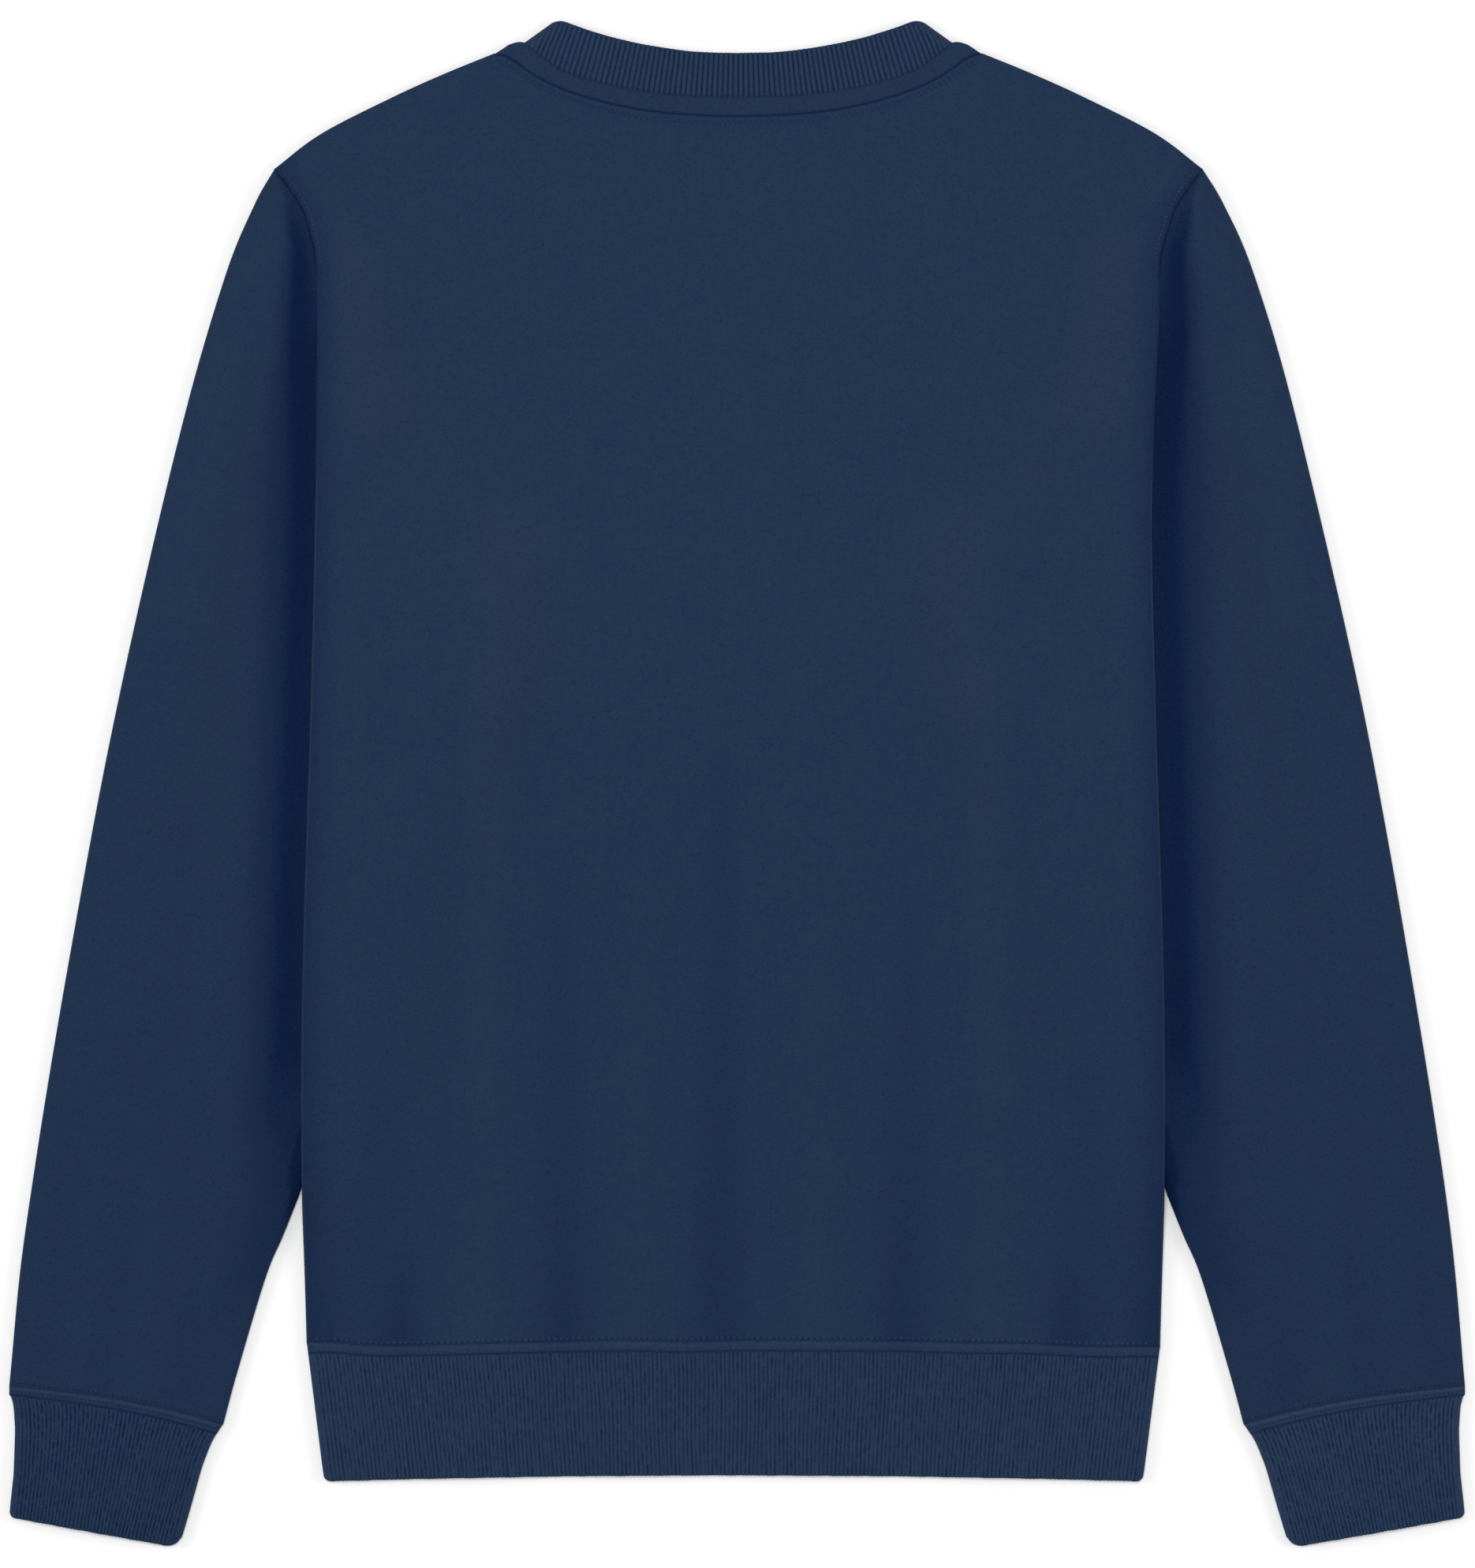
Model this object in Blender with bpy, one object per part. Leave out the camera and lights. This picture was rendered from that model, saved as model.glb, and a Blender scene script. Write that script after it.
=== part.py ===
"""Crewneck sweatshirt laid flat on its front, back panel upwards.

Metres, +Z up.  The origin is on the floor under the middle of the garment's outline, +Y points to the
collar and +X to the right-hand sleeve.  The two halves mirror each other across X = 0.  Every piece is a
closed wall of cloth: the panels are thin plates, and the sleeves, bands and ribs are flattened rings.
"""

import math
from collections import namedtuple

import bmesh
import bpy
from mathutils import Vector

# ---- cloth ----
WALL = 0.0020                # fleece and rib knit
LAYER_GAP = 0.0004           # between an upper and a lower layer that lie on each other
SEAM_GAP = 0.0003            # between the edges of two pieces that are sewn together
FLAT_HEIGHT = 2 * WALL + LAYER_GAP
TURN_RADIUS = FLAT_HEIGHT / 2
TURN_ANGLE = math.radians(35)
TURN_REACH = TURN_RADIUS * math.cos(TURN_ANGLE)  # a folded edge lies this far past its layers' ends
EDGE_ROLL = 0.0016           # width of the softened edge of a panel
EDGE_DROP = 0.0009           # how far that edge drops
FREE_EDGE_DROP = 0.0004      # how far the free edge of a rib band drops

# ---- outline: "across" is measured from the centre line, "up" along the garment ----
Point = namedtuple("Point", "across up")

SHOULDER_POINT = Point(0.2259, 0.2986)
NECK_POINT = Point(0.1141, 0.3573)
SHOULDER_LINE = (
    NECK_POINT,
    Point(0.1439, 0.3447),
    Point(0.1692, 0.3332),
    Point(0.2029, 0.3159),
    SHOULDER_POINT,
)
BODY_SIDE = (
    SHOULDER_POINT,
    Point(0.2135, 0.2814),
    Point(0.2093, 0.2699),
    Point(0.2056, 0.2526),
    Point(0.2042, 0.2050),
    Point(0.2033, 0.1300),
    Point(0.2054, 0.0359),
    Point(0.2093, -0.0945),
    Point(0.2097, -0.1860),
    Point(0.2075, -0.2741),
)
SLEEVE_OUTER = (
    SHOULDER_POINT,
    Point(0.2364, 0.2814),
    Point(0.2516, 0.2469),
    Point(0.2725, 0.1740),
    Point(0.3044, 0.0359),
    Point(0.3292, -0.1022),
    Point(0.3471, -0.2170),
    Point(0.3541, -0.2938),
)
# The sleeve's armhole edge goes under the side of the body at the first of these points.
HIDDEN_ARMHOLE = (
    Point(0.2042, 0.2050),
    Point(0.1935, 0.1640),
    Point(0.1680, 0.1180),
    Point(0.1283, 0.0819),
)
UNDERARM = (
    Point(0.1283, 0.0819),
    Point(0.1700, -0.0600),
    Point(0.2110, -0.2001),
    Point(0.2275, -0.2403),
    Point(0.2413, -0.2864),
    Point(0.2484, -0.3124),
)
SLEEVE_EMERGES = -0.2001     # where the underarm comes out from under the body

# ---- neck: each line curves from the centre to its end as a power of the distance across ----
# At the back of the neck a share of that rise comes late, near the line's end.
NeckLine = namedtuple("NeckLine", "half_width end_up back_up front_up back_power front_power late late_power")
NECK_SEAM = NeckLine(NECK_POINT.across, NECK_POINT.up, 0.3249, 0.2720, 2.0, 2.6, 0.36, 9.0)
NECK_RIB_START = NeckLine(0.1034, 0.3612, 0.3343, 0.2815, 2.0, 2.6, 0.40, 11.0)
NECK_RIB_EDGE = NeckLine(0.0867, 0.3713, 0.3555, 0.3025, 2.2, 2.4, 0.0, 1.0)

# ---- hem ----
HEM_UP = -0.2706             # seam of the panels and the hem rib, on the centre line
HEM_SAG = 0.0035             # how much lower that seam is at the sides
HEM_EDGE_UP = -0.3362
HEM_EDGE_SAG = 0.0030
HEM_EDGE_HALF_WIDTH = 0.1991
HEM_HALF_WIDTH = BODY_SIDE[-1].across

# ---- cuff: its outer and inner edge a third and two thirds of the way down, and at the free edge ----
CUFF_EDGES = (
    (Point(0.3512, -0.3149), Point(0.2586, -0.3319)),
    (Point(0.3518, -0.3361), Point(0.2641, -0.3514)),
    (Point(0.3537, -0.3572), Point(0.2700, -0.3708)),
)
CUFF_BOW = 0.0024            # how far the middle of the cuff's seam bows towards the sleeve

# ---- ribs and the pressed roll of the seam above them ----
Rib = namedtuple("Rib", "count height roll_width roll_height")
NECK_RIBS = Rib(68, 0.0006, 0.0, 0.0)
HEM_RIBS = Rib(200, 0.0006, 0.0048, 0.0007)
CUFF_RIBS = Rib(50, 0.0006, 0.0044, 0.0007)
RIB_RISE = 0.0010            # length over which the ribs rise at their start
RIB_END_ROLL = 0.0010        # softened free edge of a rib band
ROLL_CREST = (0.25, 0.75)    # where the pressed roll is at its full height, as shares of its width

# ---- height ----
BODY_LIFT = 0.0052           # the body lies this much higher over the sleeve that is tucked under it
LIFT_MARGIN = 0.0070         # the full lift reaches this far past the sleeve
LIFT_RAMP_TOP = 0.0400       # width of the slope at the armhole
LIFT_RAMP_LOW = 0.0480       # width of the slope lower down
SLEEVE_LOFT = 0.0024         # how much the visible part of the sleeve stands up between its edges
LOFT_POWER = 0.8

# Soft folds that the gathered hem pushes into the back panel.
Fold = namedtuple("Fold", "across half_width height length")
HEM_FOLDS = (
    Fold(-0.1800, 0.0300, 0.0011, 0.105),
    Fold(-0.1206, 0.0400, 0.0024, 0.165),
    Fold(-0.0478, 0.0410, 0.0021, 0.130),
    Fold(0.0405, 0.0430, 0.0025, 0.150),
    Fold(0.1191, 0.0400, 0.0023, 0.170),
    Fold(0.1790, 0.0300, 0.0012, 0.110),
)
FOLD_LEFT_AT_EDGE = 0.45     # share of a fold that is left at the hem's free edge
LOFT_LEFT_AT_EDGE = 0.50     # share of the sleeve's loft that is left at the cuff's free edge

# ---- how finely the shapes are divided ----
NECK_COLUMNS = 7             # from the centre to the neck point
SHOULDER_COLUMNS = 7         # from the neck point to the side
UPPER_ROWS = 6               # down to where the sleeve goes under the body
LOWER_ROWS = 15
SLEEVE_ROWS = 13
HIDDEN_SEAM_STEPS = 7
CURVE_STEPS = 12             # between two points of an outline
NECK_CROWDING = 1.3          # above 1 the columns crowd towards the neck point
SLEEVE_CROWDING = 1.15       # above 1 the rows crowd towards the armhole
SMOOTH_ANGLE = math.radians(40)

# ---- colours, sRGB ----
FLEECE_NAVY = (36, 52, 78)
BAND_NAVY = (37, 54, 79)
RIB_NAVY = (38, 54, 80)


# ---- lines in the plane of the floor ----

def smooth_line(points):
    """A dense line through the points, by a Catmull-Rom curve."""
    line = [Vector((point.across, point.up)) for point in points]
    line = [2 * line[0] - line[1]] + line + [2 * line[-1] - line[-2]]
    dense = []
    for before, start, end, after in zip(line, line[1:], line[2:], line[3:]):
        for step in range(CURVE_STEPS):
            t = step / CURVE_STEPS
            bend = (2 * before - 5 * start + 4 * end - after) * t * t
            bend += (3 * start - before - 3 * end + after) * t * t * t
            dense.append(start + ((end - before) * t + bend) / 2)
    return dense + [line[-2]]


def travelled(line):
    """The distance along the line at each of its points."""
    reach = [0.0]
    for start, end in zip(line, line[1:]):
        reach.append(reach[-1] + (end - start).length)
    return reach


def at_reach(line, reach, distance):
    """The point at this distance along the line, whose points lie at these reaches."""
    for index in range(1, len(line)):
        if distance <= reach[index] or index == len(line) - 1:
            share = (distance - reach[index - 1]) / (reach[index] - reach[index - 1])
            return line[index - 1].lerp(line[index], min(max(share, 0.0), 1.0))


def at_shares(line, shares):
    """The points at these shares of the line's length."""
    reach = travelled(line)
    return [at_reach(line, reach, share * reach[-1]) for share in shares]


def shares_of(line):
    """Each point's share of the line's length."""
    reach = travelled(line)
    return [distance / reach[-1] for distance in reach]


def even_shares(steps):
    return [step / steps for step in range(steps + 1)]


def shortened(line, cut):
    """The line with its two end points drawn in by the cut."""
    first = line[0] + (line[1] - line[0]).normalized() * cut
    last = line[-1] + (line[-2] - line[-1]).normalized() * cut
    return [first] + line[1:-1] + [last]


def moved_left(line, distance):
    """The line moved to its left-hand side."""
    moved = []
    for index, point in enumerate(line):
        before = line[max(index - 1, 0)]
        after = line[min(index + 1, len(line) - 1)]
        along = (after - before).normalized()
        moved.append(point + Vector((-along.y, along.x)) * distance)
    return moved


def across_at(line, up):
    """How far across a line that runs down the garment is at this height."""
    if up >= line[0].y:
        return line[0].x
    for start, end in zip(line, line[1:]):
        if end.y <= up < start.y:
            return start.x + (end.x - start.x) * (start.y - up) / (start.y - end.y)
    return line[-1].x


def up_at(line, across):
    """How far up a line that runs outwards is at this distance across."""
    if across <= line[0].x:
        return line[0].y
    for start, end in zip(line, line[1:]):
        if start.x <= across <= end.x:
            return start.y + (end.y - start.y) * (across - start.x) / (end.x - start.x)
    return line[-1].y


def gap_to_line(line, point):
    """Distance from the point to the nearest stretch of the line."""
    nearest = math.inf
    for start, end in zip(line, line[1:]):
        stretch = end - start
        share = (point - start).dot(stretch) / stretch.length_squared
        nearest = min(nearest, (start + stretch * min(max(share, 0.0), 1.0) - point).length)
    return nearest


SHOULDER = smooth_line(SHOULDER_LINE)
SIDE = smooth_line(BODY_SIDE)
OUTER = smooth_line(SLEEVE_OUTER)
UNDER = smooth_line(UNDERARM)
TUCK_TOP = HIDDEN_ARMHOLE[0].up
TUCKED = smooth_line(HIDDEN_ARMHOLE)[:-1] + [spot for spot in UNDER if spot.y > SLEEVE_EMERGES]


def soft_step(share):
    share = min(max(share, 0.0), 1.0)
    return share * share * (3 - 2 * share)


# ---- heights ----

def body_lift(across, up):
    """Height of the front panel's underside: it rises over the hidden part of the sleeve."""
    across = abs(across)
    if SLEEVE_EMERGES < up < TUCK_TOP and across >= across_at(TUCKED, up):
        return BODY_LIFT
    gap = gap_to_line(TUCKED, Vector((across, up)))
    lowered = soft_step((TUCK_TOP - up) / (TUCK_TOP - HIDDEN_ARMHOLE[-1].up))
    ramp = LIFT_RAMP_TOP + (LIFT_RAMP_LOW - LIFT_RAMP_TOP) * lowered
    return BODY_LIFT * soft_step(1 - (gap - LIFT_MARGIN) / ramp)


def fold_height(across, up):
    """Height of the soft folds above the hem."""
    height = 0.0
    for fold in HEM_FOLDS:
        offset = abs(across - fold.across) / fold.half_width
        if offset < 1:
            reach = soft_step(1 - (up - HEM_UP) / fold.length)
            height += fold.height * reach * (1 + math.cos(math.pi * offset)) / 2
    return height


def loft_share(share):
    return math.sin(math.pi * min(max(share, 0.0), 1.0)) ** LOFT_POWER


def sleeve_loft(across, up):
    """How much the sleeve's upper layer stands up; the part under the body stays flat."""
    across = abs(across)
    inner = across_at(SIDE, up)
    if up < SLEEVE_EMERGES:
        inner = max(inner, across_at(UNDER, up))
    outer = across_at(OUTER, up)
    return SLEEVE_LOFT * loft_share((across - inner) / (outer - inner))


# ---- solids from rings ----

UPPER_END = 0.40             # a ring's own measure: upper layer 0 to 0.4, turn, lower layer, turn
LOWER_START = 0.50
LOWER_END = 0.90
TURN_MEASURE = LOWER_START - UPPER_END
SAME_MEASURE = 1e-9


def flat_ring(upper, lower, upper_heights, inset=0.0):
    """(measure, point) round a flattened ring.  inset moves from the outer to the inner face of its wall."""
    last = len(upper) - 1
    ring = []
    for index, (spot, rise) in enumerate(zip(upper, upper_heights)):
        height = FLAT_HEIGHT + rise - inset
        ring.append((UPPER_END * index / last, Vector((spot.x, spot.y, height))))
    ring += turn(upper[-1], upper[-2], inset, UPPER_END, 1)
    last = len(lower) - 1
    for index, spot in enumerate([upper[-1]] + lower[-2:0:-1] + [upper[0]]):
        measure = LOWER_START + (LOWER_END - LOWER_START) * index / last
        ring.append((measure, Vector((spot.x, spot.y, inset))))
    ring += turn(upper[0], upper[1], inset, LOWER_END, -1)
    return ring


def turn(end, inner, inset, measure, side):
    """The two points that carry a ring's wall round from one layer to the other."""
    out = (end - inner).normalized()
    radius = TURN_RADIUS - inset
    points = []
    for step, angle in enumerate((TURN_ANGLE, -TURN_ANGLE), 1):
        spot = end + out * radius * math.cos(angle)
        height = TURN_RADIUS + side * radius * math.sin(angle)
        points.append((measure + TURN_MEASURE * step / 3, Vector((spot.x, spot.y, height))))
    return points


def new_loop(mesh, ring):
    return [(measure, mesh.verts.new(point)) for measure, point in ring]


def bridge(mesh, first, second):
    """Triangles between two loops whose points may differ in number; their measures pair them off.

    The diagonals of a lower layer run the same way as those of the layer above it.
    """
    first = first + [(1.0, first[0][1])]
    second = second + [(1.0, second[0][1])]
    i = j = 0
    while i < len(first) - 1 or j < len(second) - 1:
        ahead_first = first[i + 1][0] if i < len(first) - 1 else math.inf
        ahead_second = second[j + 1][0] if j < len(second) - 1 else math.inf
        level = abs(ahead_first - ahead_second) < SAME_MEASURE
        if level and ahead_first < LOWER_START or not level and ahead_first < ahead_second:
            mesh.faces.new((first[i][1], second[j][1], first[i + 1][1]))
            i += 1
        else:
            mesh.faces.new((first[i][1], second[j][1], second[j + 1][1]))
            j += 1


def finish(name, mesh, material):
    bmesh.ops.recalc_face_normals(mesh, faces=mesh.faces)
    data = bpy.data.meshes.new(name)
    mesh.to_mesh(data)
    mesh.free()
    data.shade_smooth()
    data.set_sharp_from_angle(angle=SMOOTH_ANGLE)
    data.materials.append(material)
    piece = bpy.data.objects.new(name, data)
    bpy.context.scene.collection.objects.link(piece)
    return piece


def plate(name, rows, material):
    """A panel from rows of (upper points, lower points), both from left to right."""
    mesh = bmesh.new()
    last = len(rows[0][0]) - 1
    loops = []
    for upper, lower in rows:
        ring = []
        for index, point in enumerate(upper):
            ring.append((UPPER_END * index / last, point))
        for index, point in enumerate(reversed(lower)):
            ring.append((LOWER_START + (LOWER_END - LOWER_START) * index / last, point))
        loops.append(new_loop(mesh, ring))
    for first, second in zip(loops, loops[1:]):
        bridge(mesh, first, second)
    for loop in (loops[0], loops[-1]):
        verts = [vert for _, vert in loop]
        for i in range(last):
            mesh.faces.new((verts[i], verts[i + 1], verts[-i - 2], verts[-i - 1]))
    return finish(name, mesh, material)


def tube(name, outer_rings, inner_rings, material):
    """An open tube of cloth from the rings of its outer face and of its plain inner face."""
    mesh = bmesh.new()
    outer = [new_loop(mesh, ring) for ring in outer_rings]
    inner = [new_loop(mesh, ring) for ring in inner_rings]
    around = outer + inner[::-1]
    for first, second in zip(around, around[1:] + around[:1]):
        bridge(mesh, first, second)
    return finish(name, mesh, material)


# ---- body panels ----

def column_shares(edge_roll=True):
    """Shares of the half width: closer together towards the neck point, with one for the edge's roll."""
    neck = NECK_POINT.across / SHOULDER_POINT.across
    steps = range(NECK_COLUMNS + 1)
    shares = [neck * (1 - (1 - step / NECK_COLUMNS) ** NECK_CROWDING) for step in steps]
    for step in range(1, SHOULDER_COLUMNS + 1):
        shares.append(neck + (1 - neck) * step / SHOULDER_COLUMNS)
    if edge_roll:
        shares.insert(-1, 1 - EDGE_ROLL / SHOULDER_POINT.across)
    return [-share for share in shares[:0:-1]] + shares


def neck_curve(line, across, front):
    share = abs(across) / line.half_width
    if front:
        return line.front_up + (line.end_up - line.front_up) * share ** line.front_power
    rise = (1 - line.late) * share ** line.back_power + line.late * share ** line.late_power
    return line.back_up + (line.end_up - line.back_up) * rise


def panel_top(share, front):
    across = abs(share) * SHOULDER_POINT.across
    if across < NECK_POINT.across:
        return neck_curve(NECK_SEAM, across, front)
    return up_at(SHOULDER, across)


def hem_line(across):
    return HEM_UP - HEM_SAG * (across / HEM_HALF_WIDTH) ** 2


def row_heights(share, front):
    """How far up each row of a panel is in this column, from its top edge to the hem."""
    top = panel_top(share, front)
    rows = [top, top - EDGE_ROLL]
    for step in range(1, UPPER_ROWS + 1):
        rows.append(top - EDGE_ROLL + (TUCK_TOP - top + EDGE_ROLL) * step / UPPER_ROWS)
    low = hem_line(abs(share) * HEM_HALF_WIDTH)
    for step in range(1, LOWER_ROWS + 1):
        rows.append(TUCK_TOP + (low - TUCK_TOP) * step / LOWER_ROWS)
    return rows


def body_grid(front):
    """Rows of plan points of a panel, with whether each point is on its softened edge."""
    columns = column_shares()
    heights = [row_heights(share, front) for share in columns]
    grid = []
    for row in range(len(heights[0])):
        spots = []
        for column, share in enumerate(columns):
            up = heights[column][row]
            edge = row == 0 or column in (0, len(columns) - 1)
            spots.append((Vector((share * across_at(SIDE, up), up)), edge))
        grid.append(spots)
    return grid


def body_panel(name, front, material):
    base = 0.0 if front else WALL + LAYER_GAP
    rows = []
    for spots in body_grid(front):
        upper, lower = [], []
        for spot, edge in spots:
            low = base + body_lift(spot.x, spot.y) + (0.0 if front else fold_height(spot.x, spot.y))
            drop = EDGE_DROP if edge else 0.0
            upper.append(Vector((spot.x, spot.y, low + WALL - (0.0 if front else drop))))
            lower.append(Vector((spot.x, spot.y, low + (drop if front else 0.0))))
        rows.append((upper, lower))
    return plate(name, rows, material)


# ---- neck ----

def neck_lines(line, front):
    """Plan points of a line round the neck, from left to right, at the panels' own columns."""
    half = NECK_POINT.across
    seam = [spot for spot, _ in body_grid(front)[0]][SHOULDER_COLUMNS + 1:-SHOULDER_COLUMNS - 1]
    if line is NECK_SEAM:
        return seam
    spots = []
    for spot in seam:
        across = spot.x * line.half_width / half
        spots.append(Vector((across, neck_curve(line, across, front))))
    return spots


def neck_band(material):
    outer, inner = [], []
    for line, gap in ((NECK_SEAM, SEAM_GAP), (NECK_RIB_START, 0.0)):
        back = shortened(moved_left(neck_lines(line, False), gap), TURN_REACH)
        front = shortened(moved_left(neck_lines(line, True), gap), TURN_REACH)
        level = [0.0] * len(back)
        outer.append(flat_ring(back, front, level))
        inner.append(flat_ring(back, front, level, WALL))
    return tube("neck_band", outer, inner, material)


def rib_band(name, sections, rises, ribs, material):
    """A ring of rib knit.

    sections are its (upper, lower) plan lines, evenly spaced from the seam to the free edge; rises gives
    the upper layer's height at a share of the way across and a share of the way down.
    """
    middle = len(sections[0][0]) // 2
    length = (sections[0][0][middle] - sections[-1][0][middle]).length
    roll = ribs.roll_width / length
    coarse = shares_of(shortened(sections[0][0], TURN_REACH))
    fine = even_shares(2 * ribs.count)
    stretches = len(sections) - 1

    def ring(down, shares, relief, inset=0.0):
        first = min(int(down * stretches), stretches - 1)
        between = down * stretches - first
        lines = []
        for start, end in zip(sections[first], sections[first + 1]):
            line = [above.lerp(below, between) for above, below in zip(start, end)]
            lines.append(shortened(line, TURN_REACH))
        upper = at_shares(lines[0], shares) if shares is fine else lines[0]
        heights = [rises(share, down) + relief(index) for index, share in enumerate(shares)]
        heights[0] = heights[-1] = 0.0
        return flat_ring(upper, lines[1], heights, inset)

    def plain(_):
        return 0.0

    def ridged(index):
        return ribs.height if index % 2 else 0.0

    outer = [ring(0.0, coarse, plain)]
    if roll:
        outer += [ring(roll * share, coarse, lambda _: ribs.roll_height) for share in ROLL_CREST]
        outer.append(ring(roll, coarse, plain))
    outer.append(ring(roll + RIB_RISE / length, fine, ridged))
    outer += [ring(step / stretches, fine, ridged) for step in range(1, stretches)]
    outer.append(ring(1 - RIB_END_ROLL / length, fine, ridged))
    outer.append(ring(1.0, coarse, lambda _: -FREE_EDGE_DROP))
    inner = [ring(step / stretches, coarse, plain, WALL) for step in range(stretches + 1)]
    return tube(name, outer, inner, material)


def neck_rib(material):
    start = [moved_left(neck_lines(NECK_RIB_START, front), SEAM_GAP) for front in (False, True)]
    end = [neck_lines(NECK_RIB_EDGE, front) for front in (False, True)]
    return rib_band("neck_rib", (start, end), lambda share, down: 0.0, NECK_RIBS, material)


# ---- hem ----

def hem_rib(material):
    start, end = [], []
    for share in column_shares(edge_roll=False):
        across = share * HEM_HALF_WIDTH
        start.append(Vector((across, hem_line(across) - SEAM_GAP)))
        edge = share * HEM_EDGE_HALF_WIDTH
        end.append(Vector((edge, HEM_EDGE_UP - HEM_EDGE_SAG * share * share)))

    def rises(share, down):
        across = (2 * share - 1) * (HEM_HALF_WIDTH - TURN_REACH)
        return fold_height(across, HEM_UP) * (1 - (1 - FOLD_LEFT_AT_EDGE) * down)

    return rib_band("hem_rib", ((start, start), (end, end)), rises, HEM_RIBS, material)


# ---- sleeves and cuffs, made for +X and mirrored for -X ----

def armhole_line():
    """The sleeve's armhole edge: beside the body's edge, then hidden under the body."""
    grid = body_grid(True)
    beside = moved_left([row[-1][0] for row in grid[:UPPER_ROWS + 2]], SEAM_GAP)
    hidden = at_shares(smooth_line(HIDDEN_ARMHOLE), even_shares(HIDDEN_SEAM_STEPS))
    return beside + hidden[1:]


def sleeve_lines():
    """Plan lines across the sleeve from the armhole to the cuff, each from outer edge to underarm."""
    armhole = armhole_line()
    shares = shares_of(armhole)
    down = [(step / SLEEVE_ROWS) ** SLEEVE_CROWDING for step in range(SLEEVE_ROWS + 1)]
    outer = at_shares([armhole[0]] + OUTER[1:], down)
    inner = at_shares([armhole[-1]] + UNDER[1:], down)
    along = (inner[-1] - outer[-1]).normalized()
    bow = Vector((along.y, -along.x)) * CUFF_BOW
    cuff = [outer[-1].lerp(inner[-1], share) + bow * math.sin(math.pi * share) for share in shares]
    rows = []
    for row, b in enumerate(down):
        line = []
        for a, top, bottom in zip(shares, armhole, cuff):
            sides = outer[row] * (1 - a) + inner[row] * a
            ends = top * (1 - b) + bottom * b
            corners = (armhole[0] * (1 - a) + armhole[-1] * a) * (1 - b)
            corners += (cuff[0] * (1 - a) + cuff[-1] * a) * b
            line.append(sides + ends - corners)
        rows.append(line)
    return rows


def mirrored(spot, side):
    return Vector((spot.x * side, spot.y))


def sleeve(name, side, material):
    outer, inner = [], []
    for line in sleeve_lines():
        line = [mirrored(spot, side) for spot in shortened(line, TURN_REACH)]
        heights = [sleeve_loft(spot.x, spot.y) for spot in line]
        heights[0] = heights[-1] = 0.0
        outer.append(flat_ring(line, line, heights))
        inner.append(flat_ring(line, line, heights, WALL))
    return tube(name, outer, inner, material)


def cuff(name, side, material):
    seam = sleeve_lines()[-1]
    shares = shares_of(seam)
    lines = [moved_left(seam, SEAM_GAP)]
    for outer, inner in CUFF_EDGES:
        lines.append([Vector(outer).lerp(Vector(inner), share) for share in shares])
    sections = []
    for line in lines:
        line = [mirrored(spot, side) for spot in line]
        sections.append((line, line))

    def rises(share, down):
        return SLEEVE_LOFT * loft_share(share) * (1 - (1 - LOFT_LEFT_AT_EDGE) * down)

    return rib_band(name, sections, rises, CUFF_RIBS, material)


# ---- materials and the whole ----

def cloth(name, colour, roughness):
    """A matt knit in this sRGB colour."""
    material = bpy.data.materials.new(name)
    material.use_nodes = True
    shader = material.node_tree.nodes["Principled BSDF"]
    linear = [((value / 255 + 0.055) / 1.055) ** 2.4 for value in colour]
    shader.inputs["Base Color"].default_value = (*linear, 1.0)
    shader.inputs["Roughness"].default_value = roughness
    shader.inputs["Metallic"].default_value = 0.0
    return material


def clear_scene():
    for item in list(bpy.data.objects):
        bpy.data.objects.remove(item)


def main():
    clear_scene()
    fleece = cloth("navy fleece", FLEECE_NAVY, 0.92)
    band = cloth("navy neck band", BAND_NAVY, 0.90)
    rib = cloth("navy rib knit", RIB_NAVY, 0.88)
    pieces = [
        body_panel("front", True, fleece),
        body_panel("back", False, fleece),
        neck_band(band),
        neck_rib(rib),
        hem_rib(rib),
    ]
    for side, word in ((-1, "left"), (1, "right")):
        pieces.append(sleeve(f"sleeve_{word}", side, fleece))
        pieces.append(cuff(f"cuff_{word}", side, rib))
    garment = bpy.data.objects.new("sweatshirt", None)
    bpy.context.scene.collection.objects.link(garment)
    for piece in pieces:
        piece.parent = garment


main()
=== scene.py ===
import math

import bpy
import numpy as np
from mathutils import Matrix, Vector
from mathutils.bvhtree import BVHTree


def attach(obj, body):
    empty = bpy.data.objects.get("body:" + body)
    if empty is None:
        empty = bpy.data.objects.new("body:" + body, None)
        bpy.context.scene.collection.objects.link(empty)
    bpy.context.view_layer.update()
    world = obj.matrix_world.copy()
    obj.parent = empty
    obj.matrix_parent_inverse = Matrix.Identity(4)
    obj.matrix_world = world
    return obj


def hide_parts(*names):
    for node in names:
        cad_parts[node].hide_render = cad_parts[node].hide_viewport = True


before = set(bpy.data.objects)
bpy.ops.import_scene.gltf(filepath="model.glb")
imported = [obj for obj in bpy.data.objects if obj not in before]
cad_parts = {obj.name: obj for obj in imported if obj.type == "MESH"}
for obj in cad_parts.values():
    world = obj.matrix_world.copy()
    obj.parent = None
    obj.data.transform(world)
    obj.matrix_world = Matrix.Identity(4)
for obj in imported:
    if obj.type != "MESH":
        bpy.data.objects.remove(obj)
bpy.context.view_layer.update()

# A plain navy crewneck sweatshirt, laid flat with its back upwards. Metres, +Z up, +Y to the collar,
# from the middle of the outline. Lines are given for one half, and the whole is then swayed a little.

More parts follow.
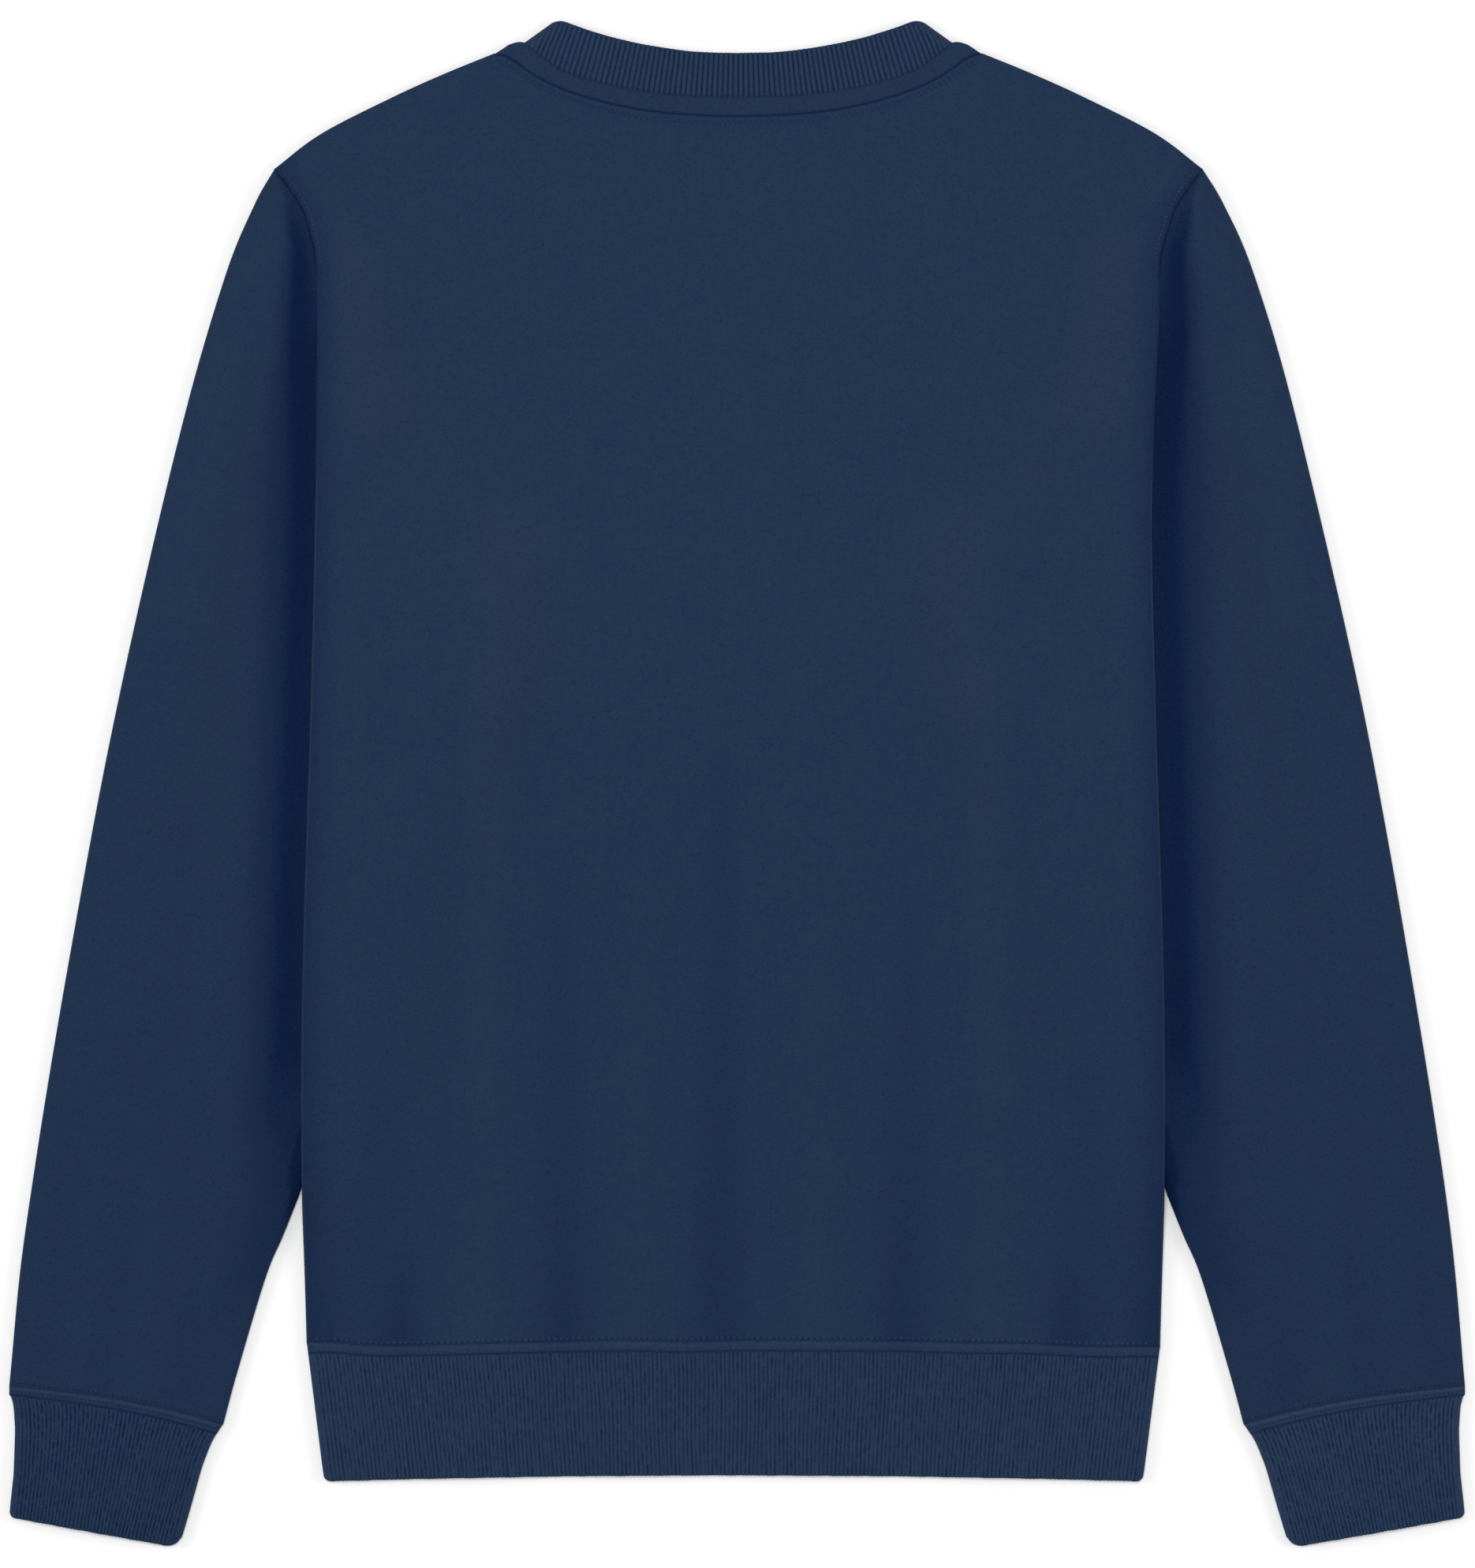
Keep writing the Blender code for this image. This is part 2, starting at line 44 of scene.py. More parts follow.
cloth = dict(
    wall=0.002, rim=0.0001,             # thickness, and what is left of it at a panel's edge
    flatHeight=0.0044,                  # two walls and the air between them
    turnRadius=0.0022, turnSteps=5,     # a folded edge
    cornerReach=0.016,                  # a rounded corner moves the cloth this far from the end
    curveSteps=12,
)
seams = dict(
    lap=0.0004,     # two pieces overlap by this much where they are sewn together
    drop=0.42,      # a seam goes down by this share of a folded edge
    # painted shade in the creases of the seams: how wide, and how dark at the hem, neck and armhole
    creaseWidth=0.0013, hemCreaseShade=-0.07, neckCreaseShade=-0.15, armholeCreaseShade=-0.1,
    armholeSeen=(0.24, 0.012), fadedDrop=0.3,   # it fades in the dark valley below this
    # a row of stitches: the width and depth of its furrow, and the painted shade in it
    furrow=0.0009, furrowDepth=0.00025, furrowShade=-0.035,      # what a row of stitches presses in
)
outline = dict(
    shoulder=[(0.1187, 0.355), (0.1439, 0.3447), (0.1692, 0.3332), (0.2029, 0.3159), (0.2259, 0.2986)],
    side=[
        (0.2259, 0.2986), (0.2135, 0.2814), (0.2093, 0.2699), (0.2056, 0.2526), (0.2042, 0.205),
        (0.2033, 0.13), (0.2054, 0.0359), (0.2093, -0.0945), (0.2097, -0.186), (0.2075, -0.2741),
    ],
    sleeveOuter=[
        (0.2259, 0.2986), (0.2358, 0.2814), (0.2503, 0.2469), (0.2714, 0.174),
        (0.3032, 0.0359), (0.3286, -0.1022), (0.3465, -0.217), (0.354, -0.293),
    ],
    hiddenArmhole=[(0.2042, 0.205), (0.1935, 0.164), (0.168, 0.118), (0.1283, 0.0819)],
    hiddenUnderarm=[(0.1283, 0.0819), (0.17, -0.06), (0.211, -0.2001)],
    underarm=[(0.211, -0.2001), (0.2192, -0.2205), (0.2275, -0.2403), (0.2413, -0.2864), (0.2481, -0.3116)],
)


def softStep(t):
    t = np.clip(t, 0.0, 1.0)
    return t * t * (3 - 2 * t)


def rising(t, ramp):
    # 0 before the ramp and 1 after it: where it starts, and how long it is
    return softStep((t - ramp[0]) / ramp[1])


def between(low, high, t):
    return low + (high - low) * t


def near(distance, reach):
    # 1 at 0, evenly down to 0 at the reach
    return np.clip(1 - distance / reach, 0, 1)


def rounding(distance, radius):
    # how far a round edge has turned away, as a share of its radius
    return 1 - np.sqrt(1 - near(distance, radius) ** 2)


def hump(t):
    # 1 at 0, softly down to 0 at 1
    return (1 + np.cos(np.pi * np.clip(np.abs(t), 0, 1))) / 2


def unevenness(t, pitch, seed):
    # a slow wave that never quite repeats, about -1 to 1
    waves = ((1.0, 0.0, 0.5), (1.71, 2.1, 0.3), (2.93, 4.4, 0.2))
    return sum(part * np.sin(2 * np.pi * t * pace / pitch + start + seed) for pace, start, part in waves)


def smoothLine(points, steps=cloth["curveSteps"]):
    # a Catmull-Rom line through the points
    p = np.array(points, float)
    p = np.vstack([2 * p[0] - p[1], p, 2 * p[-1] - p[-2]])
    t = np.linspace(0, 1, steps, endpoint=False)[:, None]
    runs = []
    for a, b, c, d in zip(p, p[1:], p[2:], p[3:]):
        bend = (2 * a - 5 * b + 4 * c - d) * t ** 2 + (3 * b - a - 3 * c + d) * t ** 3
        runs.append(b + ((c - a) * t + bend) / 2)
    return np.vstack(runs + [p[-2:-1]])


def travelled(line):
    return np.concatenate([[0.0], np.cumsum(np.linalg.norm(np.diff(line, axis=0), axis=1))])


def pointsOn(line, places, marks):
    # points at these places on a line whose own points have these marks
    return np.stack([np.interp(places, marks, line[:, k]) for k in (0, 1)], axis=-1)


def atShares(line, shares):
    reach = travelled(line)
    return pointsOn(line, shares, reach / reach[-1])


def drawnIn(line, cut, places, corners=(0.0, 0.0)):
    # Points at these shares of the line without this much of each end. A corner takes more off
    # an end, and moves only the points near it.
    reach = travelled(line)
    places = cut + np.asarray(places) * (reach[-1] - 2 * cut)
    starting = near(places - cut, cloth["cornerReach"]) ** 2
    ending = near(reach[-1] - cut - places, cloth["cornerReach"]) ** 2
    return pointsOn(line, places + corners[0] * starting - corners[1] * ending, reach)


def movedLeft(line, distance):
    along = np.gradient(line, axis=0)
    along /= np.linalg.norm(along, axis=1)[:, None]
    return line + np.stack([-along[:, 1], along[:, 0]], axis=1) * distance


def acrossAt(line, y):
    # where a line that runs down the garment is at height y
    return np.interp(-np.asarray(y), -line[:, 1], line[:, 0])


def byRow(rows, column, y):
    # a column of a table whose rows start with y and run down the garment
    return np.interp(-y, -rows[:, 0], rows[:, column])


def gapTo(line, x, y):
    nearest = np.full(np.shape(x), np.inf)
    for (ax, ay), (bx, by) in zip(line, line[1:]):
        dx, dy = bx - ax, by - ay
        t = np.clip(((x - ax) * dx + (y - ay) * dy) / (dx * dx + dy * dy), 0, 1)
        nearest = np.minimum(nearest, np.hypot(x - ax - t * dx, y - ay - t * dy))
    return nearest


shoulderLine, sideLine, outerLine, hiddenLine = (
    smoothLine(outline[part]) for part in ("shoulder", "side", "sleeveOuter", "hiddenArmhole"))
underLine = np.vstack([smoothLine(outline["hiddenUnderarm"])[:-1], smoothLine(outline["underarm"])])
# the sleeve is tucked under the body from tuckTop down to where it emerges
tuckTop, tuckLow = outline["hiddenArmhole"][0][1], outline["hiddenArmhole"][-1][1]
emergesAt = outline["underarm"][0][1]
tuckedLine = np.vstack([hiddenLine[:-1], underLine[underLine[:, 1] > emergesAt]])

# y, and how far to +X the outer and the inner edges lie there
swayRows = np.array([
    (0.305, 0.0006, 0.0006), (0.27, 0.0012, 0.0008), (0.258, 0.0013, 0.0004),
    (0.22, 0.0015, 0.0004), (0.1816, 0.0014, -0.0008), (0.151, 0.0013, -0.0013), (0.12, 0.0013, -0.0019),
    (0.036, 0.0013, -0.0019), (-0.01, 0.0011, -0.0019), (-0.056, 0.001, -0.0019),
    (-0.103, 0.0008, -0.0019), (-0.194, 0.0006, -0.0019), (-0.24, 0.0002, -0.0018),
    (-0.29, 0.0, -0.0018), (-0.4, 0.0, -0.0017),
])


def swayed(x, y):
    inner = np.maximum(acrossAt(sideLine, y), np.where(y < emergesAt, acrossAt(underLine, y), 0))
    outwards = np.clip((np.abs(x) - inner) / (acrossAt(outerLine, y) - inner + 1e-6), 0, 1)
    return x + between(byRow(swayRows, 2, y), byRow(swayRows, 1, y), outwards)


# how high the body lies on a tucked sleeve, and how gently it comes down beside it
lift = dict(body=0.0052, margin=0.007, rampTop=0.04, rampLow=0.048)


def bodyLift(x, y):
    across = np.abs(x)
    tucked = (y < tuckTop) & (y > emergesAt) & (across >= acrossAt(tuckedLine, y))
    ramp = between(lift["rampTop"], lift["rampLow"], rising(y, (tuckTop, tuckLow - tuckTop)))
    raised = softStep(1 - (gapTo(tuckedLine, across, y) - lift["margin"]) / ramp)
    return lift["body"] * np.where(tucked, 1.0, raised)


hem = dict(
    up=-0.2706, sag=0.0035, halfWidth=0.2075,               # its seam
    edgeUp=-0.3362, edgeSag=0.003, edgeHalfWidth=0.1991,    # its free edge
    planPoints=81, waverSteps=4,
    # x, and how far the seam lies above its even curve there
    waver=[
        (-0.206, 0.0022), (-0.194, 0.0017), (-0.183, 0.0003), (-0.165, -0.0008), (-0.134, -0.0008),
        (-0.118, -0.0006), (-0.093, -0.0006), (-0.076, -0.0004), (-0.06, -0.0002), (-0.05, -0.0002),
        (-0.038, -0.0005), (-0.026, -0.001), (-0.013, -0.0009), (-0.003, -0.0006), (0.019, -0.0003),
        (0.05, -0.0003), (0.081, -0.0003), (0.112, -0.0005), (0.142, -0.0002), (0.173, -0.001),
        (0.196, -0.0003), (0.208, 0.0),
    ],
    # how much of the height, and of the painted light and shade, of the forms above it goes, and by where
    flatter=0.65, flatterBy=0.7, shadeKept=0.35, shadeBy=0.15,
)
hemWaver = smoothLine(hem["waver"], hem["waverSteps"])


def hemLine(x):
    share = x / hem["halfWidth"]
    return hem["up"] - hem["sag"] * share ** 2 + np.interp(x, hemWaver[:, 0], hemWaver[:, 1])


# Soft forms of the back: straight ridges (height above 0) and troughs, each from one end to the other.
# x0 y0 x1 y1, half width at the two ends, height, and how much lighter the cloth is painted on it: painted
# light on the ridges, painted shade in the troughs.
backForms = [
    # over the shoulder blades, and the slack that hangs from them
    (-0.188, 0.256, -0.176, 0.182, 0.024, 0.026, 0.0012, 0.019),
    (0.183, 0.256, 0.1725, 0.182, 0.024, 0.026, 0.0012, 0.019),
    (-0.165, 0.19, -0.122, 0.105, 0.024, 0.03, 0.0006, 0.008),
    (0.16, 0.19, 0.112, 0.105, 0.024, 0.03, 0.0006, 0.008),
    (-0.105, 0.118, -0.113, 0.052, 0.038, 0.036, 0.0014, 0.015),
    (0.099, 0.118, 0.107, 0.052, 0.038, 0.036, 0.0014, 0.013),
    (-0.119, 0.05, -0.125, -0.15, 0.019, 0.017, 0.0008, 0.011),
    (0.117, 0.05, 0.124, -0.15, 0.019, 0.017, 0.0008, 0.011),
    (-0.08, 0.29, 0.085, 0.29, 0.036, 0.036, 0.0004, 0.006),
    # gathers that the hem pushes up: ridges
    (-0.123, -0.15, -0.127, -0.273, 0.02, 0.024, 0.001, 0.014),
    (-0.047, -0.06, -0.049, -0.272, 0.018, 0.026, 0.0014, 0.01),
    (0.038, -0.07, 0.04, -0.272, 0.018, 0.026, 0.0014, 0.012),
    (0.123, -0.15, 0.1235, -0.273, 0.02, 0.024, 0.001, 0.014),
    # and troughs
    (-0.007, 0.01, -0.009, -0.272, 0.01, 0.022, -0.002, -0.046),
    (-0.087, -0.05, -0.084, -0.272, 0.012, 0.024, -0.0022, -0.034),
    (0.084, -0.06, 0.0805, -0.272, 0.012, 0.024, -0.0022, -0.034),
    (-0.084, -0.21, -0.0845, -0.273, 0.01, 0.014, -0.0006, -0.022),
    (0.08, -0.22, 0.0795, -0.273, 0.01, 0.014, -0.0006, -0.022),
    (-0.162, -0.233, -0.163, -0.274, 0.01, 0.018, -0.0013, -0.046),
    (0.159, -0.23, 0.16, -0.274, 0.01, 0.018, -0.0013, -0.046),
    (-0.172, -0.15, -0.174, -0.274, 0.024, 0.03, -0.0003, -0.022),
    (0.169, -0.15, 0.171, -0.274, 0.024, 0.03, -0.0003, -0.02),
    (-0.195, -0.22, -0.198, -0.274, 0.01, 0.016, -0.0008, -0.014),
    (0.194, -0.225, 0.197, -0.274, 0.01, 0.016, -0.0008, -0.014),
]
# The hem's fullness lifts the cloth above it as a whole, and the troughs cut into that. Under it the
# front lies close, so a trough stops at closes. A form that ends below gathersAt begins at gatherStart.
fullness = dict(height=0.0024, length=0.17, sides=0.045, closes=0.0003, gathersAt=-0.2, gatherStart=0.35)


def formsAt(rows, x, y):
    # the height, and the painted light and shade, that the forms add up to
    height, tone = np.zeros(np.shape(x)), np.zeros(np.shape(x))
    for x0, y0, x1, y1, wide0, wide1, high, light in rows:
        dx, dy = x1 - x0, y1 - y0
        t = np.clip(((x - x0) * dx + (y - y0) * dy) / (dx * dx + dy * dy), 0, 1)
        part = hump(np.hypot(x - x0 - t * dx, y - y0 - t * dy) / between(wide0, wide1, t))
        if y1 < fullness["gathersAt"]:
            part = part * between(fullness["gatherStart"], 1.0, t)
        height, tone = height + high * part, tone + light * part
    return height, tone


def backForm(x, y):
    # the height of the back's forms, and their painted light and shade
    x = swayed(x, y)
    share = softStep(1 - (y - hem["up"]) / fullness["length"])
    share = share * softStep((hem["halfWidth"] - np.abs(x)) / fullness["sides"])
    form, tone = formsAt(backForms, x, y)
    form = form + fullness["height"] * share
    return np.where(form < 0, fullness["closes"] * np.tanh(form / fullness["closes"]), form), tone


def fleeceTone(sizes, y):
    # tone is how light the cloth looks, a little less towards the hem
    return between(sizes["lowTone"], sizes["tone"], rising(y, sizes["toneRises"]))


def edgeDrop(distance):
    # how far the cloth goes down this near to its edge
    return (cloth["wall"] - cloth["rim"]) * rounding(distance, cloth["turnRadius"])


def channel(distance, at, width=seams["furrow"]):
    return hump((distance - at) / width)


# painted shade in a seam's crease
def creaseShade(kind, distance):
    return seams[kind] * channel(distance, 0.0, seams["creaseWidth"])


def armholeDrop(y):
    return seams["drop"] * between(seams["fadedDrop"], 1.0, rising(y, seams["armholeSeen"]))


def newPiece(name, points, faces, material, values, loops=None):
    # values: a number for each point, by name. loops: where each corner is on the flat cloth.
    mesh = bpy.data.meshes.new(name)
    mesh.from_pydata(points, [], faces)
    for label, numbers in values.items():
        layer = mesh.attributes.new(label, "FLOAT", "POINT")
        layer.data.foreach_set("value", np.ravel(numbers).astype(np.float32))
    if loops is not None:
        mesh.uv_layers.new(name="clothUv").data.foreach_set("uv", loops.ravel().astype(np.float32))
    mesh.shade_smooth()
    mesh.update()
    mesh.materials.append(material)
    piece = bpy.data.objects.new(name, mesh)
    bpy.context.scene.collection.objects.link(piece)
    return piece


def lofted(name, rings, values, u, v, material, endless=True):
    # Rings of the same number of points. The last ring is closed to the first, or, where it isn't
    # endless, each end ring is a flat pair of rows and is closed between them.
    rows, count = np.shape(rings)[:2]
    i, j = np.meshgrid(np.arange(rows if endless else rows - 1), np.arange(count), indexing="ij")
    i2, j2 = (i + 1) % rows, (j + 1) % count
    faces = [a * count + b for a, b in ((i, j), (i, j2), (i2, j2), (i2, j))]
    faces = np.stack(faces, axis=-1).reshape(-1, 4)
    u = np.broadcast_to(u, (rows, count + 1))
    corners = ((u[i, j], v[i]), (u[i, j + 1], v[i]), (u[i2, j + 1], v[i2]), (u[i2, j], v[i2]))
    loops = np.stack([np.stack(corner, axis=-1) for corner in corners], axis=2).reshape(-1, 4, 2)
    if not endless:
        k = np.arange(count // 2 - 1)
        for row, flip in ((0, False), (rows - 1, True)):
            cap = np.stack([k, count - 1 - k, count - 2 - k, k + 1], axis=1) + row * count
            faces = np.vstack([faces, cap[:, ::-1] if flip else cap])
            loops = np.vstack([loops, np.zeros((len(cap), 4, 2))])
    points = np.array(rings).reshape(-1, 3)
    points[:, 0] = swayed(points[:, 0], points[:, 1])
    a, b, c, d = (points[faces[:, k]] for k in range(4))
    if (np.cross(a, b) * c + np.cross(a, c) * d).sum() < 0:     # the faces look inwards
        faces, loops = faces[:, ::-1], loops[:, ::-1]
    return newPiece(name, points.tolist(), faces.tolist(), material, values, loops)


def spaced(length, step, edges):
    # from 0 to length: close together at both ends, and about step apart between them
    inner = np.linspace(edges[-1], length - edges[-1], int(round((length - 2 * edges[-1]) / step)) + 1)
    edges = np.array(edges)
    return np.concatenate([edges[:-1], inner, length - edges[-2::-1]])


def bothFaces(down, innerRows):
    # down the outer face and back up the inner one: how far down, and how deep in the cloth
    back = np.linspace(down[-1], 0, innerRows)
    return np.array([(reach, 0.0) for reach in down] + [(reach, cloth["wall"]) for reach in back])


def flatRing(plan, shares, top, under, inset=0.0, corners=(0.0, 0.0)):
    # Points round a flattened tube: its upper layer, a fold, its lower layer and the other fold.
    # plan and shares are the two layers' lines and how their points are spread.
    radius = cloth["turnRadius"]
    upper, lower = (drawnIn(line, radius, places, corners) for line, places in zip(plan, shares))
    lower[0], lower[-1] = upper[0], upper[-1]
    angles = np.radians(90 - 180 * np.arange(1, cloth["turnSteps"] + 1) / (cloth["turnSteps"] + 1))
    folds = []
    for end, inner, side in ((upper[-1], upper[-2], 1), (upper[0], upper[1], -1)):
        out = (end - inner) / np.linalg.norm(end - inner)
        around = end + np.outer((radius - inset) * np.cos(angles), out)
        folds.append(np.column_stack([around, radius + side * (radius - inset) * np.sin(angles)]))
    top = np.array(top, float)
    top[0] = top[-1] = cloth["flatHeight"]
    upper = np.column_stack([upper, top - inset])
    lower = np.column_stack([lower, np.zeros(len(lower)) + under + inset])
    return np.vstack([upper, folds[0], lower[::-1], folds[1]])


def aroundRing(upper, lowerCount, lower, folds=None):
    # a value for each point of a flat ring: its folds are as the upper layer's ends, or as given
    last, first = (np.full(cloth["turnSteps"], upper[end] if folds is None else folds) for end in (-1, 0))
    return np.concatenate([upper, last, np.full(lowerCount, lower), first])


def ringPath(ring):
    return travelled(np.vstack([ring, ring[:1]]))


def mathNode(operation, turned=False):
    def apply(wire, *others):
        values = (wire, *others)[::-1] if turned else (wire, *others)
        return wire.shader.wire("ShaderNodeMath", {"operation": operation}, dict(enumerate(values)))
    return apply


class Wire:
    # a socket's output, on which plain expressions add the Math nodes
    def __init__(self, shader, socket):
        self.shader, self.socket = shader, socket

    __add__ = __radd__ = mathNode("ADD")
    __sub__, __rsub__ = mathNode("SUBTRACT"), mathNode("SUBTRACT", turned=True)
    __mul__ = __rmul__ = mathNode("MULTIPLY")
    __truediv__, __pow__, __abs__ = mathNode("DIVIDE"), mathNode("POWER"), mathNode("ABSOLUTE")
    sin, fract, floor = mathNode("SINE"), mathNode("FRACT"), mathNode("FLOOR")


class Shader:
    # one material and its nodes
    def __init__(self, name, roughness, sheen, specular):
        self.material = bpy.data.materials.new(name)
        self.material.use_nodes = True
        self.tree = self.material.node_tree
        self.surface = self.tree.nodes["Principled BSDF"].inputs
        fixed = {
            "Roughness": roughness, "Specular IOR Level": specular, "Sheen Weight": sheen,
            "Sheen Roughness": dyeAndShade["sheenRoughness"], "Sheen Tint": (*dyeAndShade["sheenTint"], 1.0),
        }
        for key, value in fixed.items():
            self.feed(self.surface[key], value)

    def node(self, kind, settings, values):
        # settings first, then the value or the link of each socket, by its name or number
        node = self.tree.nodes.new(kind)
        for key, value in settings.items():
            setattr(node, key, value)
        for key, value in values.items():
            self.feed(node.inputs[key], value)
        return node

    def feed(self, socket, value):
        if isinstance(value, Wire):
            self.tree.links.new(value.socket, socket)
        else:
            socket.default_value = value

    def wire(self, kind, settings, values, output=0):
        return Wire(self, self.node(kind, settings, values).outputs[output])

    def place(self):
        return self.wire("ShaderNodeTexCoord", {}, {}, "Object")

    def attribute(self, name):
        return self.wire("ShaderNodeAttribute", {"attribute_name": name}, {}, "Fac")

    def noise(self, place, scale, detail=2.0, roughness=0.5):
        values = {"Vector": place, "Scale": scale, "Detail": detail, "Roughness": roughness}
        return self.wire("ShaderNodeTexNoise", {}, values)

    def clamp(self, value, low=0.0, high=1.0):
        return self.wire("ShaderNodeClamp", {}, {"Value": value, "Min": low, "Max": high})

    def parts(self, vector):
        node = self.node("ShaderNodeSeparateXYZ", {}, {0: vector})
        return [Wire(self, output) for output in node.outputs]

    def bump(self, height, distance, strength, below=None):
        values = {"Height": height, "Distance": distance, "Strength": strength}
        if below:
            values["Normal"] = below
        return self.wire("ShaderNodeBump", {}, values)

    def colour(self, tone):
        ramp = self.node("ShaderNodeValToRGB", {}, {0: tone})
        marks = ramp.color_ramp.elements
        while len(marks) < len(dyeAndShade["stops"]):
            marks.new(0.5)
        for mark, (place, colour) in zip(marks, dyeAndShade["stops"]):
            mark.position, mark.color = place, (*colour, 1.0)
        self.feed(self.surface["Base Color"], Wire(self, ramp.outputs[0]))


def dyed(*shown, sheenAdds=0.0031, studioGain=1.077, darkest=0.0004):
    # the base colour that looks like this sRGB red, green and blue in the studio
    linear = [((value / 255 + 0.055) / 1.055) ** 2.4 for value in shown]
    return tuple(max((value - sheenAdds) / studioGain, darkest) for value in linear)


def wave(turns):
    # 0 to 1 and back over each turn
    return (turns * (2 * math.pi)).sin() * 0.5 + 0.5


def swing(noise, amount):
    # a noise made to go this far up and down
    return (noise - 0.5) * (2 * amount)


# the cloth's dye and knit, and the painted light and shade that its tone carries
dyeAndShade = dict(
    # tone, from the painted shade of a deep crease to the crest of a rib
    stops=[
        (0.3, dyed(10, 24, 55)), (0.37, dyed(14, 31, 62)), (0.42, dyed(21, 38, 68)),
        (0.5, dyed(30, 46.6, 74)), (0.553, dyed(36, 52.8, 78)), (0.6, dyed(43, 58.8, 83)),
        (0.68, dyed(54, 69, 91)),
    ],
    sheenRoughness=0.45, sheenTint=(0.35, 0.5, 0.85),
    grain=0.036, grainScale=1000.0,     # fibre ends, about 1 mm
    mottle=0.012, mottleScale=55.0,     # slow change over 20 mm
    blotch=0.01, blotchScale=260.0,     # and over 4 mm
    # darker specks where the nap parts, over 1 mm apart
    speck=0.034, speckScale=760.0, speckFrom=0.54, speckOver=0.14, speckMean=0.25,
    wale=0.00095, course=0.00075, loopLean=6.0,     # loops of the fleece's face
    ribCourse=0.00125, ribLoopLean=2.5,
    # loop and loopMean: painted light and shade that follow the knit's loops; then the heights of the
    # loops' and the nap's bumps
    loop=0.012, loopMean=0.4, loopHeight=0.00018, napHeight=0.0003,
    rough=0.88, rougher=0.1,
)
# the valleys between ribs, painted darker as shade: where they start, how dark, how narrow and how beaded
# they are
ribKnits = dict(
    startsOver=0.0004, dashFrom=0.15, dashTo=1.75, laneShift=20,
    collar=dict(start=0.0, depth=0.21, narrow=3.0, dash=0.008, broken=0.35, loops=0.3),
    hem=dict(start=0.0052, depth=0.099, narrow=1.6, dash=0.005, broken=1.7, loops=0.3),
    cuff=dict(start=0.0053, depth=0.122, narrow=1.6, dash=0.003, broken=2.1, loops=0.5),
)


def ribValleyShade(shader, rib, u, v, side):
    # painted shade in the valleys between ribs: u counts the ribs, and each valley has dashes of its own
    lane = (u + 0.5).floor()
    shift = shader.wire("ShaderNodeTexWhiteNoise", {"noise_dimensions": "1D"}, {"W": lane})
    shift = shift * ribKnits["laneShift"]
    spot = shader.wire("ShaderNodeCombineXYZ", {}, {0: shift, 1: v / rib["dash"] + shift, 2: 0.5})
    dash = 1.0 + swing(shader.noise(spot, scale=1.0, detail=1.0), rib["broken"])
    dash = shader.clamp(dash, ribKnits["dashFrom"], ribKnits["dashTo"])
    ribbed = shader.clamp((v - rib["start"]) / ribKnits["startsOver"]) * shader.attribute("ribbed")
    return side ** rib["narrow"] * ribbed * dash * rib["depth"]


def clothMaterial(name, rib=None, loops=0.7, fuzz=0.35):
    shader = Shader(name, roughness=0.93, sheen=0.06, specular=0.1)
    place, tone = shader.place(), shader.attribute("tone")
    u, v, _ = shader.parts(shader.wire("ShaderNodeUVMap", {"uv_map": "clothUv"}, {}))
    grain = shader.noise(place, dyeAndShade["grainScale"], detail=3.0, roughness=0.6)
    mottle = shader.noise(place, dyeAndShade["mottleScale"])
    blotch = shader.noise(place, dyeAndShade["blotchScale"], detail=1.0)
    speck = shader.noise(place, dyeAndShade["speckScale"], detail=1.0)
    speck = shader.clamp((speck - dyeAndShade["speckFrom"]) / dyeAndShade["speckOver"])
    if rib:
        # one column of loops to a rib
        side = abs(u.fract() - 0.5) * 2
        relief = wave(v / dyeAndShade["ribCourse"] + side * (dyeAndShade["ribLoopLean"] / (2 * math.pi))) * rib["loops"]
        # painted shade between the ribs
        tone = tone - ribValleyShade(shader, rib, u, v, side)
    else:
        side = abs((u / dyeAndShade["wale"]).fract() - 0.5)
        relief = wave(v / dyeAndShade["course"] + side * (dyeAndShade["loopLean"] / (2 * math.pi))) * (1 - side)
    tone = tone + swing(grain, dyeAndShade["grain"]) + swing(mottle, dyeAndShade["mottle"]) + swing(blotch, dyeAndShade["blotch"])
    # darker specks where the nap parts, and painted light and shade that follow the relief of the loops
    tone = tone - (speck - dyeAndShade["speckMean"]) * dyeAndShade["speck"] + (relief - dyeAndShade["loopMean"]) * dyeAndShade["loop"]
    shader.colour(tone)
    knit = shader.bump(relief, dyeAndShade["loopHeight"], loops)
    shader.feed(shader.surface["Normal"], shader.bump(grain, dyeAndShade["napHeight"], fuzz, knit))
    shader.feed(shader.surface["Roughness"], dyeAndShade["rough"] + mottle * dyeAndShade["rougher"])
    return shader.material


# the yarn's twist, with painted light and shade along it, and its fibres' tone
yarn = dict(twist=0.0004, twistShade=0.01, twistHeight=0.00006, fibre=0.03, fibreScale=2500.0)


def threadMaterial():
    shader = Shader("thread", roughness=0.85, sheen=0.05, specular=0.12)
    place = shader.place()
    x, y, _ = shader.parts(place)
    twist = wave((x + y) / yarn["twist"])
    fibre = shader.noise(place, yarn["fibreScale"])
    # tone from the fibres, with painted light and shade along the twist
    shader.colour(shader.attribute("tone") + swing(fibre, yarn["fibre"]) + swing(twist, yarn["twistShade"]))
    shader.feed(shader.surface["Normal"], shader.bump(twist, yarn["twistHeight"], strength=0.4))
    return shader.material


fleece = clothMaterial("fleece", loops=0.5, fuzz=0.5)
bandKnit = clothMaterial("bandKnit")
collarKnit = clothMaterial("collarKnit", ribKnits["collar"])
hemKnit = clothMaterial("hemKnit", ribKnits["hem"])
cuffKnit = clothMaterial("cuffKnit", ribKnits["cuff"])
thread = threadMaterial()
print("materials made")


